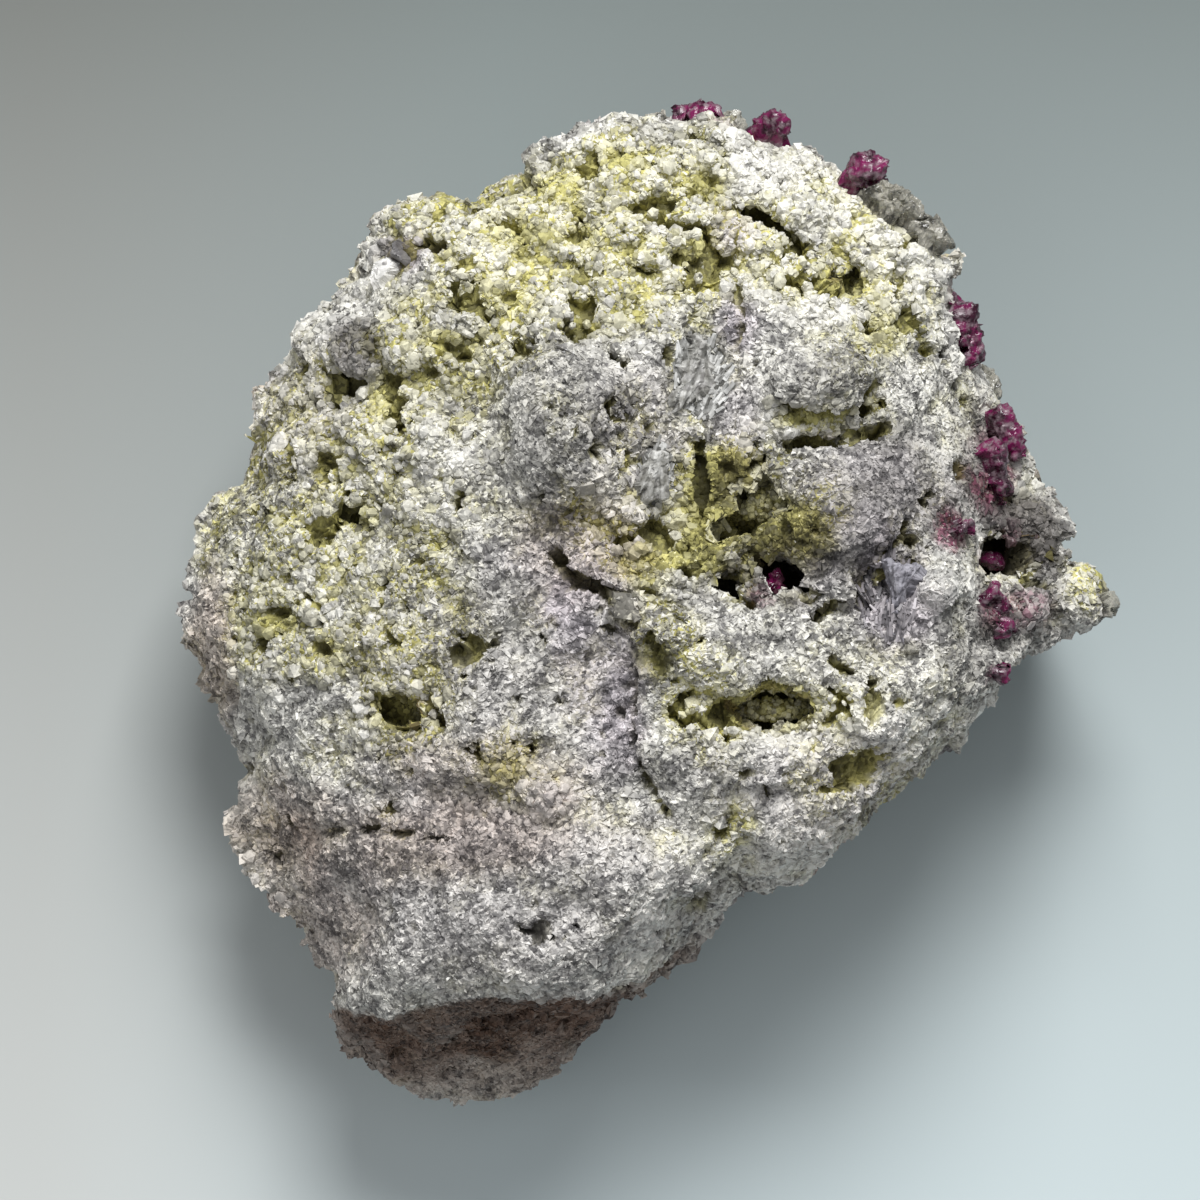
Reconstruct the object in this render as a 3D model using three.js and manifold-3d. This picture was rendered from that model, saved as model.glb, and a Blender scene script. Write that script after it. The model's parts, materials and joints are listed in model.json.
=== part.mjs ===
// Tourmaline cluster on matrix: pink rubellite prisms, quartz, albite blades and
// mica plates on a lump of lepidolite rock with vugs, a ridge and a deep crease.
// Millimetres. The rock lies on its back: X runs across the face that is seen,
// Y up it, and Z rises from the flat back towards the viewer.
import * as THREE from 'three';
import Module from 'manifold-3d';
import { mergeVertices } from 'three/addons/utils/BufferGeometryUtils.js';

const wasm = await Module();
wasm.setup();

// Driving dimensions, in millimetres.
const FACE_HEIGHT = 47.5;
const SEAT_GAP = 0.5;
const FOOT_CLEARANCE = 0.8;
const REACH = 90;
const FACET_JITTER = 0.45;
const CRUST_GAP = 0.4;
const FINE_VUG = 5;
const LONG_MOULD = 8;

// The section of a tourmaline prism: its sides, how strongly it bulges to three
// sides, how uneven it is, and the level and width of its bevelled end.
const PRISM_SIDES = 7;
const PRISM_BULGE = 0.09;
const PRISM_UNEVENNESS = 0.08;
const PRISM_LEVELS = [-0.5, 0.34, 0.5];
const PRISM_END = { width: 0.68, scatter: 0.1, slant: 0.07 };

// Curves of the rock's form: how the face rises inside the rim, how it leans over
// there, and how the wall falls in and down to the foot.
const FACE_RISE_CURVE = 0.55;
const RIM_LEAN_CURVE = 6;
const WALL_IN_CURVE = 0.8;
const WALL_DOWN_CURVE = 1.15;
const SLOPE_CURVE = 1.5;
const SLOPE_LIMIT = 1.3;
const WALL_UNDERCUT = 0.4;
const WALL_CALMING = 0.5;

// How lumpy a broken body is: rounded balls, hollows and blocky grains.
const BALL_ROUGHNESS = 0.16;
const VUG_ROUGHNESS = 0.34;
const GRAIN_SIZE = 1.05;
const GRAIN_ROUGHNESS = 0.3;

// Where the repeatable scatter of each kind of piece begins.
const SEEDS = {
  nose: 7, rubellites: 10, bundles: 20, bundleStep: 5, quartzes: 30, wallRubellites: 40,
  plates: 51, lavender: 61, albite: 62, lowerAlbite: 63, wallQuartzes: 70, ringStep: 1000, wall: 90000,
};

// Swells and knobs of the broken rock: how wide and how high.
const SWELL = { size: 12, height: 1.7 };
const KNOB = { size: 4.8, height: 1.1 };

// How finely the rock is faceted.
const FACE_RINGS = 22;
const SIDES_PER_RING = 6;
const WALL_RING_SIDES = [132, 132, 88, 88, 88, 88];
const RIM_CROWDING = 1.12;
const FOOT_RINGS = [[44, 0.8], [22, 0.5], [8, 0.25]];

// The rock's widest outline, anticlockwise from the nose on its right.
const OUTLINE = [
  [56.8, 0], [56.8, 1.8], [55.4, 3.5], [53.4, 4.8], [52.2, 6.8], [52, 9], [51.4, 11.2],
  [49.4, 14], [48.4, 18.5], [44.5, 25], [42.4, 30], [41, 36], [39.6, 41], [40.5, 43.5],
  [39.9, 46.5], [36, 50], [31.5, 52.5], [25, 55.5], [21.5, 57.5], [16, 59],
  [10.5, 60.5], [7, 63], [1.8, 62], [-5.8, 61.5], [-10.3, 59.3], [-15.3, 57.8],
  [-15.5, 55], [-18, 54], [-22, 52], [-24.4, 51], [-26.2, 52.8], [-29.5, 52],
  [-32.7, 50.3], [-35.8, 46.5], [-36.4, 43.4], [-39.2, 42], [-41.7, 39],
  [-45.4, 35.6], [-48.6, 28.7], [-51.5, 21], [-51.5, 17], [-57.8, 10.7],
  [-58.6, 3], [-59.4, -4.2], [-59, -7], [-56.3, -12.4], [-53.3, -18],
  [-53, -28], [-51.2, -33.7], [-48.3, -38.3], [-45.3, -41.6], [-44, -46],
  [-41.5, -50], [-41, -54], [-39.6, -57], [-34, -59.3], [-31.3, -62.2],
  [-24, -64.4], [-20, -65], [-16, -64], [-12.6, -61.3], [-6.7, -55.8],
  [-3.7, -51.5], [0.6, -47], [5.6, -41.6], [9.5, -37.8], [12.4, -35.6],
  [18.2, -34.4], [25, -30.3], [32.7, -23.7], [36.3, -21.3], [40, -15.6],
  [45, -9.7], [50.6, -5.2], [53.6, -3.8], [55.6, -2],
];

// The rounded knob at the end of the nose: its middle and half-sizes.
const NOSE = { at: [53.6, 0.7], height: 26.5, half: [4.6, 3.3, 5], turn: -8 };

// Round the rock: direction in degrees, height of the widest outline, how sharply
// the face turns over there, and the foot's size as a share of the outline.
const RIM = [
  [0, 25, 6, 0.8], [25, 24, 4.5, 0.85], [60, 28, 5, 0.86], [95, 30, 5, 0.86],
  [125, 26, 4, 0.82], [160, 21, 3, 0.78], [200, 19, 2.8, 0.76],
  [228, 15, 4, 0.8], [250, 11, 7, 0.86], [266, 15, 8, 0.8], [282, 29, 10, 0.68],
  [315, 32, 10, 0.64], [345, 30, 8, 0.7],
];

// Broad fall of the face to each side: direction across, where it begins, over
// what distance, and how far it drops.
const SLOPES = [
  { across: [-1, 0], from: 18, over: 42, drop: 12 },
  { across: [0, 1], from: 24, over: 40, drop: 8 },
  { across: [0.45, -0.9], from: 22, over: 30, drop: 6 },
  { across: [0.9, 0.45], from: 26, over: 26, drop: 6 },
];

// Broken facets that cut the face off: a point on the edge where each begins, the
// way it faces in plan, the height of that edge, how steeply it falls, and how far
// it runs along its edge.
const FACETS = [
  { at: [-22, -49], facing: [0.08, -1], edge: 41.5, fall: 1.75, run: 17 },
  { at: [-1.5, -42.6], facing: [0.69, -0.73], edge: 41, fall: 3.2, run: 8 },
  { at: [37, 11], facing: [0.98, 0.2], edge: 43.5, fall: 1.25, run: 17 },
  { at: [-45, -35], facing: [-0.86, -0.5], edge: 36, fall: 1.1, run: 10 },
];
const FACET_END_RISE = 2.5;

// Flat chips knocked off the wall: direction in degrees, how far each leans in
// under the rim, and how deep it bites there. Each runs a short way along the wall.
const CHIPS = [
  { direction: 20, lean: 12, bite: 1 }, { direction: 42, lean: 8, bite: 1.4 },
  { direction: 64, lean: 10, bite: 1.6 }, { direction: 92, lean: 9, bite: 1.4 },
  { direction: 121, lean: 16, bite: 1.4 }, { direction: 147, lean: 22, bite: 1.2 },
  { direction: 176, lean: 20, bite: 1.2 }, { direction: 203, lean: 24, bite: 1.4 },
  { direction: 226, lean: 20, bite: 1 }, { direction: 250, lean: 26, bite: 0.6 },
  { direction: 284, lean: 18, bite: 1.4 }, { direction: 306, lean: 24, bite: 1.8 },
  { direction: 332, lean: 20, bite: 1.4 },
];
const CHIP_RUN = 9;
const CHIP_END_RISE = 0.8;

// Swellings and dents of the face: place, reach along and across, turn in degrees,
// height, and how steep the sides are (below 1 is a dome, above 1 a soft swell).
const LUMPS = [
  { at: [-10.8, 24], reach: [13.5, 8.6], turn: 100, rise: 4.6, soft: 0.9 },
  { at: [21.4, 29.8], reach: [7.6, 4.4], turn: 22, rise: 3.4, soft: 0.6 },
  { at: [25, 14], reach: [8.5, 6], turn: 10, rise: 2.6, soft: 1 },
  { at: [0.8, -2.4], reach: [3.8, 2.8], turn: 0, rise: 2.2, soft: 0.7 },
  { at: [37, 3.8], reach: [4, 3.4], turn: 0, rise: 3, soft: 0.7 },
  { at: [-37.4, 33], reach: [3.8, 3.6], turn: 0, rise: 2.2, soft: 0.6 },
  { at: [36.6, 44.2], reach: [5, 4.4], turn: 0, rise: 3.4, soft: 0.8 },
  { at: [-28, 50], reach: [4.6, 3.4], turn: 20, rise: 2.6, soft: 0.8 },
  { at: [-39.5, 40], reach: [3.4, 3], turn: 0, rise: 2, soft: 0.8 },
  { at: [50, 1.6], reach: [7, 5.4], turn: 0, rise: 4, soft: 0.8 },
  { at: [-7, -35], reach: [14, 9], turn: 0, rise: 1.8, soft: 1.4 },
  { at: [13.6, -5.5], reach: [14, 7], turn: 0, rise: 1.6, soft: 1.2 },
  { at: [8.5, -19.5], reach: [12, 7], turn: -20, rise: 1.4, soft: 1.2 },
  { at: [31, -14], reach: [12, 7], turn: -30, rise: 1.6, soft: 1.2 },
  { at: [-14, 50], reach: [9, 5], turn: 10, rise: 2, soft: 1.2 },
  { at: [-43, 14], reach: [8, 6], turn: 60, rise: 1.6, soft: 1.2 },
  { at: [-21, 24], reach: [14, 4], turn: 95, rise: -2.2, soft: 1.2 },
  { at: [-32.5, 27.5], reach: [6.5, 4.6], turn: 0, rise: -2.4, soft: 1 },
  { at: [-27, -24], reach: [14, 4], turn: -6, rise: -1.6, soft: 1.2 },
  { at: [-46.5, -31], reach: [8, 8], turn: 0, rise: -2.4, soft: 1.2 },
  { at: [22.6, 24.2], reach: [8, 2.6], turn: 16, rise: -2.2, soft: 1 },
  { at: [12, 12.5], reach: [8, 7.5], turn: 60, rise: -2.6, soft: 1 },
  { at: [14.9, -12.4], reach: [8.5, 3.2], turn: 0, rise: -1.8, soft: 1 },
  { at: [2, 43], reach: [7, 4], turn: 20, rise: -1.6, soft: 1 },
  { at: [14.5, 48.8], reach: [5.4, 2.2], turn: -32, rise: -2, soft: 1 },
  { at: [23.6, 41.5], reach: [4.6, 3.4], turn: 0, rise: -1.8, soft: 1 },
  { at: [29, 2.5], reach: [7.5, 3], turn: 45, rise: -2.4, soft: 1 },
  { at: [-31, -12.4], reach: [5, 4.6], turn: 20, rise: -1.6, soft: 1 },
  { at: [-45, -3.6], reach: [7, 3.4], turn: -20, rise: -1.2, soft: 1 },
];

// Creases that run down the face: a line of points, half-width and depth.
const CREASES = [
  {
    line: [[11, 52], [10.4, 46], [9.5, 40], [7.4, 33], [5.9, 27], [4.9, 20], [4.6, 13]],
    half: 3.6, depth: 4.4,
  },
  { line: [[4.6, 13], [0, 7], [-6, 3]], half: 2.6, depth: 1.6 },
  { line: [[34, 10], [31.5, 5], [26, 0.8], [20.5, -1.5]], half: 1.4, depth: 2.2 },
  { line: [[-50, -27], [-40, -28.5], [-25.5, -28]], half: 1.2, depth: 1 },
];

// The right half of the rock stands above the left along this broken line.
const STEP_LINE = [
  [-14, 10], [-11.9, 6.9], [-10.3, 3.7], [-6.9, 2.9], [-2.9, -1], [-1.8, -5.3],
  [-2.1, -11.7], [-1.8, -17.5], [0.1, -22.6], [1.4, -26.1], [4, -30],
];
const STEP_RISE = 3.4;
const STEP_WIDTH = 1.2;
const STEP_REACH = 14;

// Vugs cut into the face: place, depth of the centre below the face, half-sizes.
const VUGS = {
  central_upper: { at: [13.6, 13.6], sink: 1.5, half: [4.6, 3.6, 5], turn: 30 },
  central_lower: { at: [10.2, 10.6], sink: 2, half: [3.6, 2.7, 5.4], turn: -10 },
  pocket: { at: [16.6, 4.2], sink: 2.6, half: [4.4, 3, 7.5], turn: -20 },
  pocket_left: { at: [9, 2.6], sink: 1, half: [2.6, 2, 3.6], turn: 10 },
  right: { at: [44.3, 6.1], sink: 1, half: [3.6, 3.1, 6.4], turn: -14 },
  upper_right: { at: [23.4, 41.9], sink: 1, half: [3, 2, 4.4], turn: -20 },
  upper_middle: { at: [-0.6, 42.8], sink: 0.8, half: [2.4, 1.4, 4], turn: -20 },
  left: { at: [-31.6, -12], sink: 0.8, half: [2.9, 2.1, 4], turn: 20 },
  lower: { at: [15, -12.7], sink: 0.8, half: [6.1, 2, 4.6], turn: 2 },
  notch: { at: [6.2, -37], sink: 0.4, half: [2.6, 1.7, 4], turn: 20 },
  far_left: { at: [-38.6, 28.6], sink: 0.6, half: [2, 1, 3], turn: 5 },
  left_middle: { at: [-38, 11.8], sink: 0.6, half: [1.6, 2.1, 2.6], turn: 30 },
};

// Seeds of the vugs that hold a crust, so that the crust fits its own vug.
const VUG_SEEDS = { central_upper: 81, pocket: 82, right: 83, lower: 85 };
const LAST_VUG_SEED = 90;

// Narrow moulds where blades have fallen out: two ends, half-width, depth, and how
// far the floor of the mould leans under its upper edge.
const MOULDS = [
  { ends: [[17.2, 20], [29, 23.8]], half: 1.15, depth: 7, lean: 2.6 },
  { ends: [[10.8, 51.2], [18.2, 46.4]], half: 0.9, depth: 4, lean: 0.6 },
  { ends: [[5.4, 20.6], [5.7, 12.4]], half: 0.85, depth: 6, lean: 0.4 },
  { ends: [[-12.2, 7.4], [-9.6, 2.9]], half: 0.9, depth: 5, lean: 1.6 },
  { ends: [[-10.4, 3.6], [-5.6, 2.8]], half: 0.9, depth: 5.4, lean: 1.8 },
  { ends: [[-6.6, 3.2], [-2.2, -1.6]], half: 1.1, depth: 6, lean: 2 },
  { ends: [[31.4, 10.6], [20.2, -2]], half: 0.8, depth: 4, lean: 0 },
  { ends: [[-32.9, 25.6], [-32.2, 20.8]], half: 0.8, depth: 4, lean: 0.5 },
];

// Rubellite prisms that stand on the face or its rim: place, direction of the
// long axis, length and width. A height is given where the crystal hangs off the
// rim; the others sit that far above (or below) the face.
const RUBELLITES = {
  rubellite_top_left: { at: [5.6, 62.4], height: 27, along: [1, 0.12, 0.1], length: 5.6, width: 4.6 },
  rubellite_top_right: { at: [13.6, 60], height: 28, along: [0.5, 0.6, 0.35], length: 8.6, width: 4.4 },
  rubellite_upper_right: { at: [26.8, 55], height: 31, along: [0.3, 0.55, 0.8], length: 7.4, width: 4.8 },
  rubellite_rim_upper: { at: [39.9, 35], height: 29, along: [0.16, -1, -0.1], length: 8.4, width: 4 },
  rubellite_rim_middle: { at: [45.2, 22.4], height: 27, along: [0.4, -0.9, 0.1], length: 7.4, width: 4 },
  rubellite_rim_lower: { at: [43.4, 17], lift: 0.3, along: [0.1, -0.9, -0.3], length: 8.4, width: 4 },
  rubellite_spot: { at: [37.9, 9.8], lift: 0, along: [0.2, 0.5, 0.8], length: 4.4, width: 3.6 },
  rubellite_bright: { at: [43.1, -0.6], lift: 0.1, along: [0.45, -0.85, -0.25], length: 6.4, width: 4.4 },
  rubellite_small: { at: [43.2, -8], lift: 0.1, along: [0.8, -0.2, 0.4], length: 3.6, width: 2.4 },
};

// Clear and smoky quartz grains, rounded and broken: place, half-sizes.
const QUARTZES = {
  quartz_top_left: { at: [-1.4, 61.2], height: 26.5, half: [4.2, 2.3, 3], turn: 6 },
  quartz_top_link: { at: [9.7, 61.6], height: 24.6, half: [2.6, 2.2, 2.2], turn: -30 },
  quartz_upper_right: { at: [30.4, 51.6], height: 33.5, half: [4, 2.4, 3], turn: -25 },
  quartz_shoulder: { at: [34.9, 48.3], height: 32, half: [3.7, 2, 3], turn: -30 },
  quartz_brown: { at: [32, -5.2], lift: -0.2, half: [2.1, 1.6, 2], turn: 0 },
  quartz_nose: { at: [58, 0.4], height: 28.2, half: [1.8, 2, 2.1], turn: 20 },
};

// Cleaved mica plates that lie on the face.
const MICA_PLATES = {
  mica_plate_bright: { at: [-34, 42.2], lift: 0.7, size: 5, thickness: 1.3, tilt: [14, 16], turn: 20 },
  mica_plate_dark: { at: [-31.4, 45.4], lift: 0.3, size: 4.6, thickness: 1.3, tilt: [-26, -20], turn: 50 },
};
const PLATE_SIDES = 9;
const PLATE_RAGGEDNESS = 0.28;

// Blades and columns that fan out from a root: the root, how many, the fan's spread
// and heading in degrees, their length, each one's breadth and depth, and how far
// they stand above the face.
const LAVENDER_FAN = {
  root: [29.6, -4.4], count: 6, spread: 54, heading: 80, length: 10, blade: [1.7, 3], lift: 1.3,
};
const ALBITE_FAN = {
  root: [4.6, 24.4], count: 6, spread: 40, heading: 82, length: 9.4, blade: [1.7, 2.6], lift: 0.7,
};
const LOWER_ALBITE_FAN = {
  root: [-0.6, 13.8], count: 3, spread: 26, heading: 78, length: 6, blade: [1.9, 2.4], lift: 0.5,
};

// Bundles of rubellite prisms grown together down the broken right and upper
// walls: direction in degrees and share of the way down the wall, then each prism's
// step around and up, its lean out of level, its length and width.
const WALL_BUNDLES = {
  rubellite_bundle_right: {
    direction: 24, share: 0.42,
    prisms: [[-3, 0.5, 62, 12, 6], [1.6, -0.6, 78, 11, 5.4], [-6.4, -2.4, 48, 8, 4.4]],
  },
  rubellite_bundle_corner: {
    direction: 53, share: 0.46,
    prisms: [[-4, 1, 28, 13, 6.4], [0.5, -2.6, 10, 12, 5.6], [4.4, 2, 70, 9, 5], [6.4, -4.6, 24, 8, 4.4]],
  },
  rubellite_bundle_top: {
    direction: 84, share: 0.44,
    prisms: [[-3, -1, 112, 12, 6], [1.8, 0.6, 128, 12, 5.4], [5.4, -3.6, 150, 9, 4.6]],
  },
};
const BUNDLE_SINK = 1.2;
const BUNDLE_OUTWARD = 0.06;

// Single rubellites and quartz grains in the same walls: direction and share down
// the wall, then lean, length and width, or size.
const WALL_RUBELLITES = [
  [8, 0.5, 20, 8, 5], [38, 0.68, 65, 9, 5.2], [68, 0.66, 40, 9, 5.2], [99, 0.5, 100, 9, 5.2],
];
const WALL_QUARTZES = [
  [15, 0.66, 5.6], [34, 0.34, 5.6], [45, 0.66, 6], [62, 0.34, 5.4], [73, 0.4, 5.6], [92, 0.68, 6],
];
const SINGLE_SINK = 0.9;
const SINGLE_OUTWARD = 0.15;
const QUARTZ_SINK = 0.8;
const QUARTZ_SHAPE = [0.7, 0.6, 0.75];

// How far up a vug its crust's bed reaches, as a share of the vug's half-depth.
const CRUST_BED = 0.7;

// Small crystals that line some of the vugs: which vug, the crust's shift from its
// middle, its breadth as a share of the vug, how many crystals and how large.
const CRUSTS = {
  crust_central_vug: { vug: 'central_upper', shift: [0, 0], breadth: 0.95, grains: 7, size: 1.4 },
  crust_lower_vug: { vug: 'lower', shift: [0, 0], breadth: 0.95, grains: 6, size: 1.1 },
  crust_right_vug: { vug: 'right', shift: [-1.3, -0.2], breadth: 0.6, grains: 5, size: 1.2, pink: true },
  crust_pocket: { vug: 'pocket', shift: [-2.3, -1.2], breadth: 0.55, grains: 5, size: 1.3, pink: true },
};

const ROCK = { color: 0xaaa6a4, roughness: 0.8 };
const PINK = { color: 0xa01f68, roughness: 0.25 };
const QUARTZ = { color: 0x9b978c, roughness: 0.2 };
const MICA = { color: 0xd9dbe0, roughness: 0.3 };
const YELLOW_CRUST = { color: 0xb5ad62, roughness: 0.7 };
const LAVENDER = { color: 0x9a94b4, roughness: 0.6 };
const WHITE_BLADES = { color: 0xdfe3e6, roughness: 0.5 };

const UP = new THREE.Vector3(0, 1, 0);
const radians = THREE.MathUtils.degToRad;
const clamp = THREE.MathUtils.clamp;
const lerp = THREE.MathUtils.lerp;

// Repeatable scatter between 0 and 1 for whole numbers.
function scatter(i, j = 0, k = 0) {
  const value = Math.sin(i * 127.1 + j * 311.7 + k * 74.7) * 43758.5453;
  return value - Math.floor(value);
}

// Smooth lumpiness between -1 and 1 with swells of the given size.
function lumpiness(x, y, z, size) {
  const cell = [x / size, y / size, z / size].map(Math.floor);
  const share = [x / size - cell[0], y / size - cell[1], z / size - cell[2]];
  const smooth = share.map((t) => t * t * (3 - 2 * t));
  let sum = 0;
  for (let corner = 0; corner < 8; corner += 1) {
    const step = [corner & 1, (corner >> 1) & 1, corner >> 2];
    const weight = step.reduce((w, s, axis) => w * (s ? smooth[axis] : 1 - smooth[axis]), 1);
    sum += weight * scatter(cell[0] + step[0], cell[1] + step[1], cell[2] + step[2]);
  }
  return 2 * sum - 1;
}

function fullTurn(angle) {
  const turn = 2 * Math.PI;
  return ((angle % turn) + turn) % turn;
}

// How far the outline lies from the rock's middle in one direction.
function outlineRadius(angle) {
  const ray = [Math.cos(angle), Math.sin(angle)];
  const heading = fullTurn(angle);
  const directions = OUTLINE.map(([x, y]) => fullTurn(Math.atan2(y, x)));
  const index = directions.findLastIndex((direction) => direction <= heading);
  const [ax, ay] = OUTLINE[index];
  const [bx, by] = OUTLINE[(index + 1) % OUTLINE.length];
  return (ax * (by - ay) - ay * (bx - ax)) / (ray[0] * (by - ay) - ray[1] * (bx - ax));
}

// Rim height, turn-over and foot share in one direction.
function rimAt(angle) {
  const heading = THREE.MathUtils.radToDeg(fullTurn(angle));
  const index = RIM.findLastIndex(([direction]) => direction <= heading);
  const here = RIM[index];
  const next = RIM[(index + 1) % RIM.length];
  const span = fullTurn(radians(next[0] - here[0]));
  const share = radians(heading - here[0]) / span;
  const ease = (1 - Math.cos(Math.PI * share)) / 2;
  return {
    height: lerp(here[1], next[1], ease),
    turnover: lerp(here[2], next[2], ease),
    foot: lerp(here[3], next[3], ease),
  };
}

// Nearest point of a broken line: how far away it is, on which side, and how far
// along the line it lies, as a share.
function nearestOnLine(x, y, line) {
  let best = { distance: Infinity, side: 1, share: 0 };
  for (let i = 0; i + 1 < line.length; i += 1) {
    const [ax, ay] = line[i];
    const [dx, dy] = [line[i + 1][0] - ax, line[i + 1][1] - ay];
    const t = clamp(((x - ax) * dx + (y - ay) * dy) / (dx * dx + dy * dy), 0, 1);
    const distance = Math.hypot(x - ax - t * dx, y - ay - t * dy);
    if (distance < best.distance) {
      const side = Math.sign(dx * (y - ay) - dy * (x - ax)) || 1;
      best = { distance, side, share: (i + t) / (line.length - 1) };
    }
  }
  return best;
}

function lumpRise(x, y, { at, reach, turn, rise, soft }) {
  const angle = radians(turn);
  const [dx, dy] = [x - at[0], y - at[1]];
  const along = (dx * Math.cos(angle) + dy * Math.sin(angle)) / reach[0];
  const across = (dy * Math.cos(angle) - dx * Math.sin(angle)) / reach[1];
  const inside = 1 - along * along - across * across;
  return inside > 0 ? rise * inside ** soft : 0;
}

function slopeDrop(x, y, { across, from, over, drop }) {
  const share = clamp((x * across[0] + y * across[1] - from) / over, 0, SLOPE_LIMIT);
  return drop * share ** SLOPE_CURVE;
}

// The lift of the rock's right half, strongest at the middle of the broken line.
function stepRise(x, y) {
  const { distance, side, share } = nearestOnLine(x, y, STEP_LINE);
  const rise = STEP_RISE * Math.sin(Math.PI * clamp(share, 0, 1));
  const high = side > 0 ? 1 : clamp(1 - distance / STEP_WIDTH, 0, 1);
  return rise * high * clamp(1 - distance / STEP_REACH, 0, 1);
}

function creaseDepth(x, y, { line, half, depth }) {
  const { distance, share } = nearestOnLine(x, y, line);
  return depth * Math.exp(-((distance / half) ** 2)) * Math.sin(Math.PI * clamp(0.1 + 0.8 * share, 0, 1));
}

// Height of the face before it turns over at the rim.
function openFace(x, y) {
  let height = FACE_HEIGHT + stepRise(x, y);
  SLOPES.forEach((slope) => { height -= slopeDrop(x, y, slope); });
  FACETS.forEach(({ at, facing, edge, fall, run }) => {
    const beyond = (x - at[0]) * facing[0] + (y - at[1]) * facing[1];
    const aside = Math.abs((y - at[1]) * facing[0] - (x - at[0]) * facing[1]);
    const lift = FACET_END_RISE * Math.max(0, aside - run);
    height = Math.min(height, edge + lift - fall * beyond);
  });
  LUMPS.forEach((lump) => { height += lumpRise(x, y, lump); });
  CREASES.forEach((crease) => { height -= creaseDepth(x, y, crease); });
  return height;
}

// Height of the face at a place, with its turn-over at the rim.
function faceHeight(x, y) {
  const angle = Math.atan2(y, x);
  const rim = rimAt(angle);
  const share = clamp(Math.hypot(x, y) / outlineRadius(angle), 0, 1);
  const open = Math.max(openFace(x, y), rim.height + 1);
  return rim.height + (open - rim.height) * (1 - share ** rim.turnover) ** FACE_RISE_CURVE;
}

// A point on the wall under the rim: share 0 is the rim and 1 the foot.
function wallPoint(angle, share) {
  const rim = rimAt(angle);
  const turn = share * Math.PI / 2;
  const inward = rim.foot + (1 - rim.foot) * Math.cos(turn) ** WALL_IN_CURVE;
  const radius = outlineRadius(angle) * inward;
  const height = rim.height * (1 - Math.sin(turn) ** WALL_DOWN_CURVE);
  return new THREE.Vector3(radius * Math.cos(angle), radius * Math.sin(angle), height);
}

// Roughness of broken rock, pushed out of the surface the way it faces.
function roughen(point, facing, index, grow) {
  const swell = SWELL.height * lumpiness(point.x, point.y, point.z, SWELL.size);
  const knobs = KNOB.height * lumpiness(point.x + REACH, point.y, point.z, KNOB.size);
  const grain = FACET_JITTER * (2 * scatter(index, 7) - 1);
  return point.clone().addScaledVector(facing, swell + knobs + grain + grow);
}

function facePoint(ring, angle, index, grow) {
  const share = 1 - (1 - ring / FACE_RINGS) ** RIM_CROWDING;
  const radius = share * outlineRadius(angle);
  const x = radius * Math.cos(angle);
  const y = radius * Math.sin(angle);
  const lean = (share ** RIM_LEAN_CURVE) * Math.PI / 2;
  const outward = new THREE.Vector3(Math.cos(angle), Math.sin(angle), 0);
  const facing = outward.multiplyScalar(Math.sin(lean)).setZ(Math.cos(lean));
  return roughen(new THREE.Vector3(x, y, faceHeight(x, y)), facing, index, grow);
}

// Moves a point of the wall straight in to the flat of any chip it stands out of.
function chipped(point, grow) {
  CHIPS.forEach(({ direction, lean, bite }) => {
    const angle = radians(direction);
    const rim = wallPoint(angle, 0);
    const across = new THREE.Vector3(Math.cos(angle), Math.sin(angle), 0);
    const flat = (rim.z - point.z) * Math.tan(radians(lean)) + bite - grow;
    const away = point.clone().sub(rim);
    const aside = Math.abs(away.y * across.x - away.x * across.y);
    const proud = away.dot(across) + flat - CHIP_END_RISE * Math.max(0, aside - CHIP_RUN);
    if (proud > 0 && point.z < rim.z) {
      point.addScaledVector(across, -proud);
    }
  });
  return point;
}

// A place sunk so far into the broken wall.
function wallSeat(angle, share, sink) {
  const outward = new THREE.Vector3(Math.cos(angle), Math.sin(angle), 0);
  return chipped(wallPoint(angle, share), 0).addScaledVector(outward, -sink);
}

function wallVertex(row, angle, index, grow) {
  const share = row / WALL_RING_SIDES.length;
  const point = wallPoint(angle, share);
  if (share === 1) {
    return chipped(point, 0);
  }
  const facing = new THREE.Vector3(Math.cos(angle), Math.sin(angle), -WALL_UNDERCUT * share).normalize();
  return chipped(roughen(point, facing.multiplyScalar(1 - WALL_CALMING * share), index, grow), grow);
}

// Rows of points from the middle of the face, over the rim and down the wall to
// the middle of the flat back.
function rockRows(grow) {
  const rows = [[new THREE.Vector3(0, 0, faceHeight(0, 0) + grow)]];
  const turn = 2 * Math.PI;
  const ringOf = (count, place) => Array.from({ length: count }, (unused, i) => place(turn * i / count, i));
  for (let ring = 1; ring <= FACE_RINGS; ring += 1) {
    const first = ring * SEEDS.ringStep;
    rows.push(ringOf(SIDES_PER_RING * ring, (angle, i) => facePoint(ring, angle, first + i, grow)));
  }
  WALL_RING_SIDES.forEach((count, i) => {
    const first = SEEDS.wall + i * SEEDS.ringStep;
    rows.push(ringOf(count, (angle, j) => wallVertex(i + 1, angle, first + j, grow)));
  });
  FOOT_RINGS.forEach(([count, share]) => {
    rows.push(ringOf(count, (angle) => {
      const edge = chipped(wallPoint(angle, 1), 0);
      return new THREE.Vector3(edge.x * share, edge.y * share, 0);
    }));
  });
  rows.push([new THREE.Vector3(0, 0, 0)]);
  return rows;
}

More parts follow.
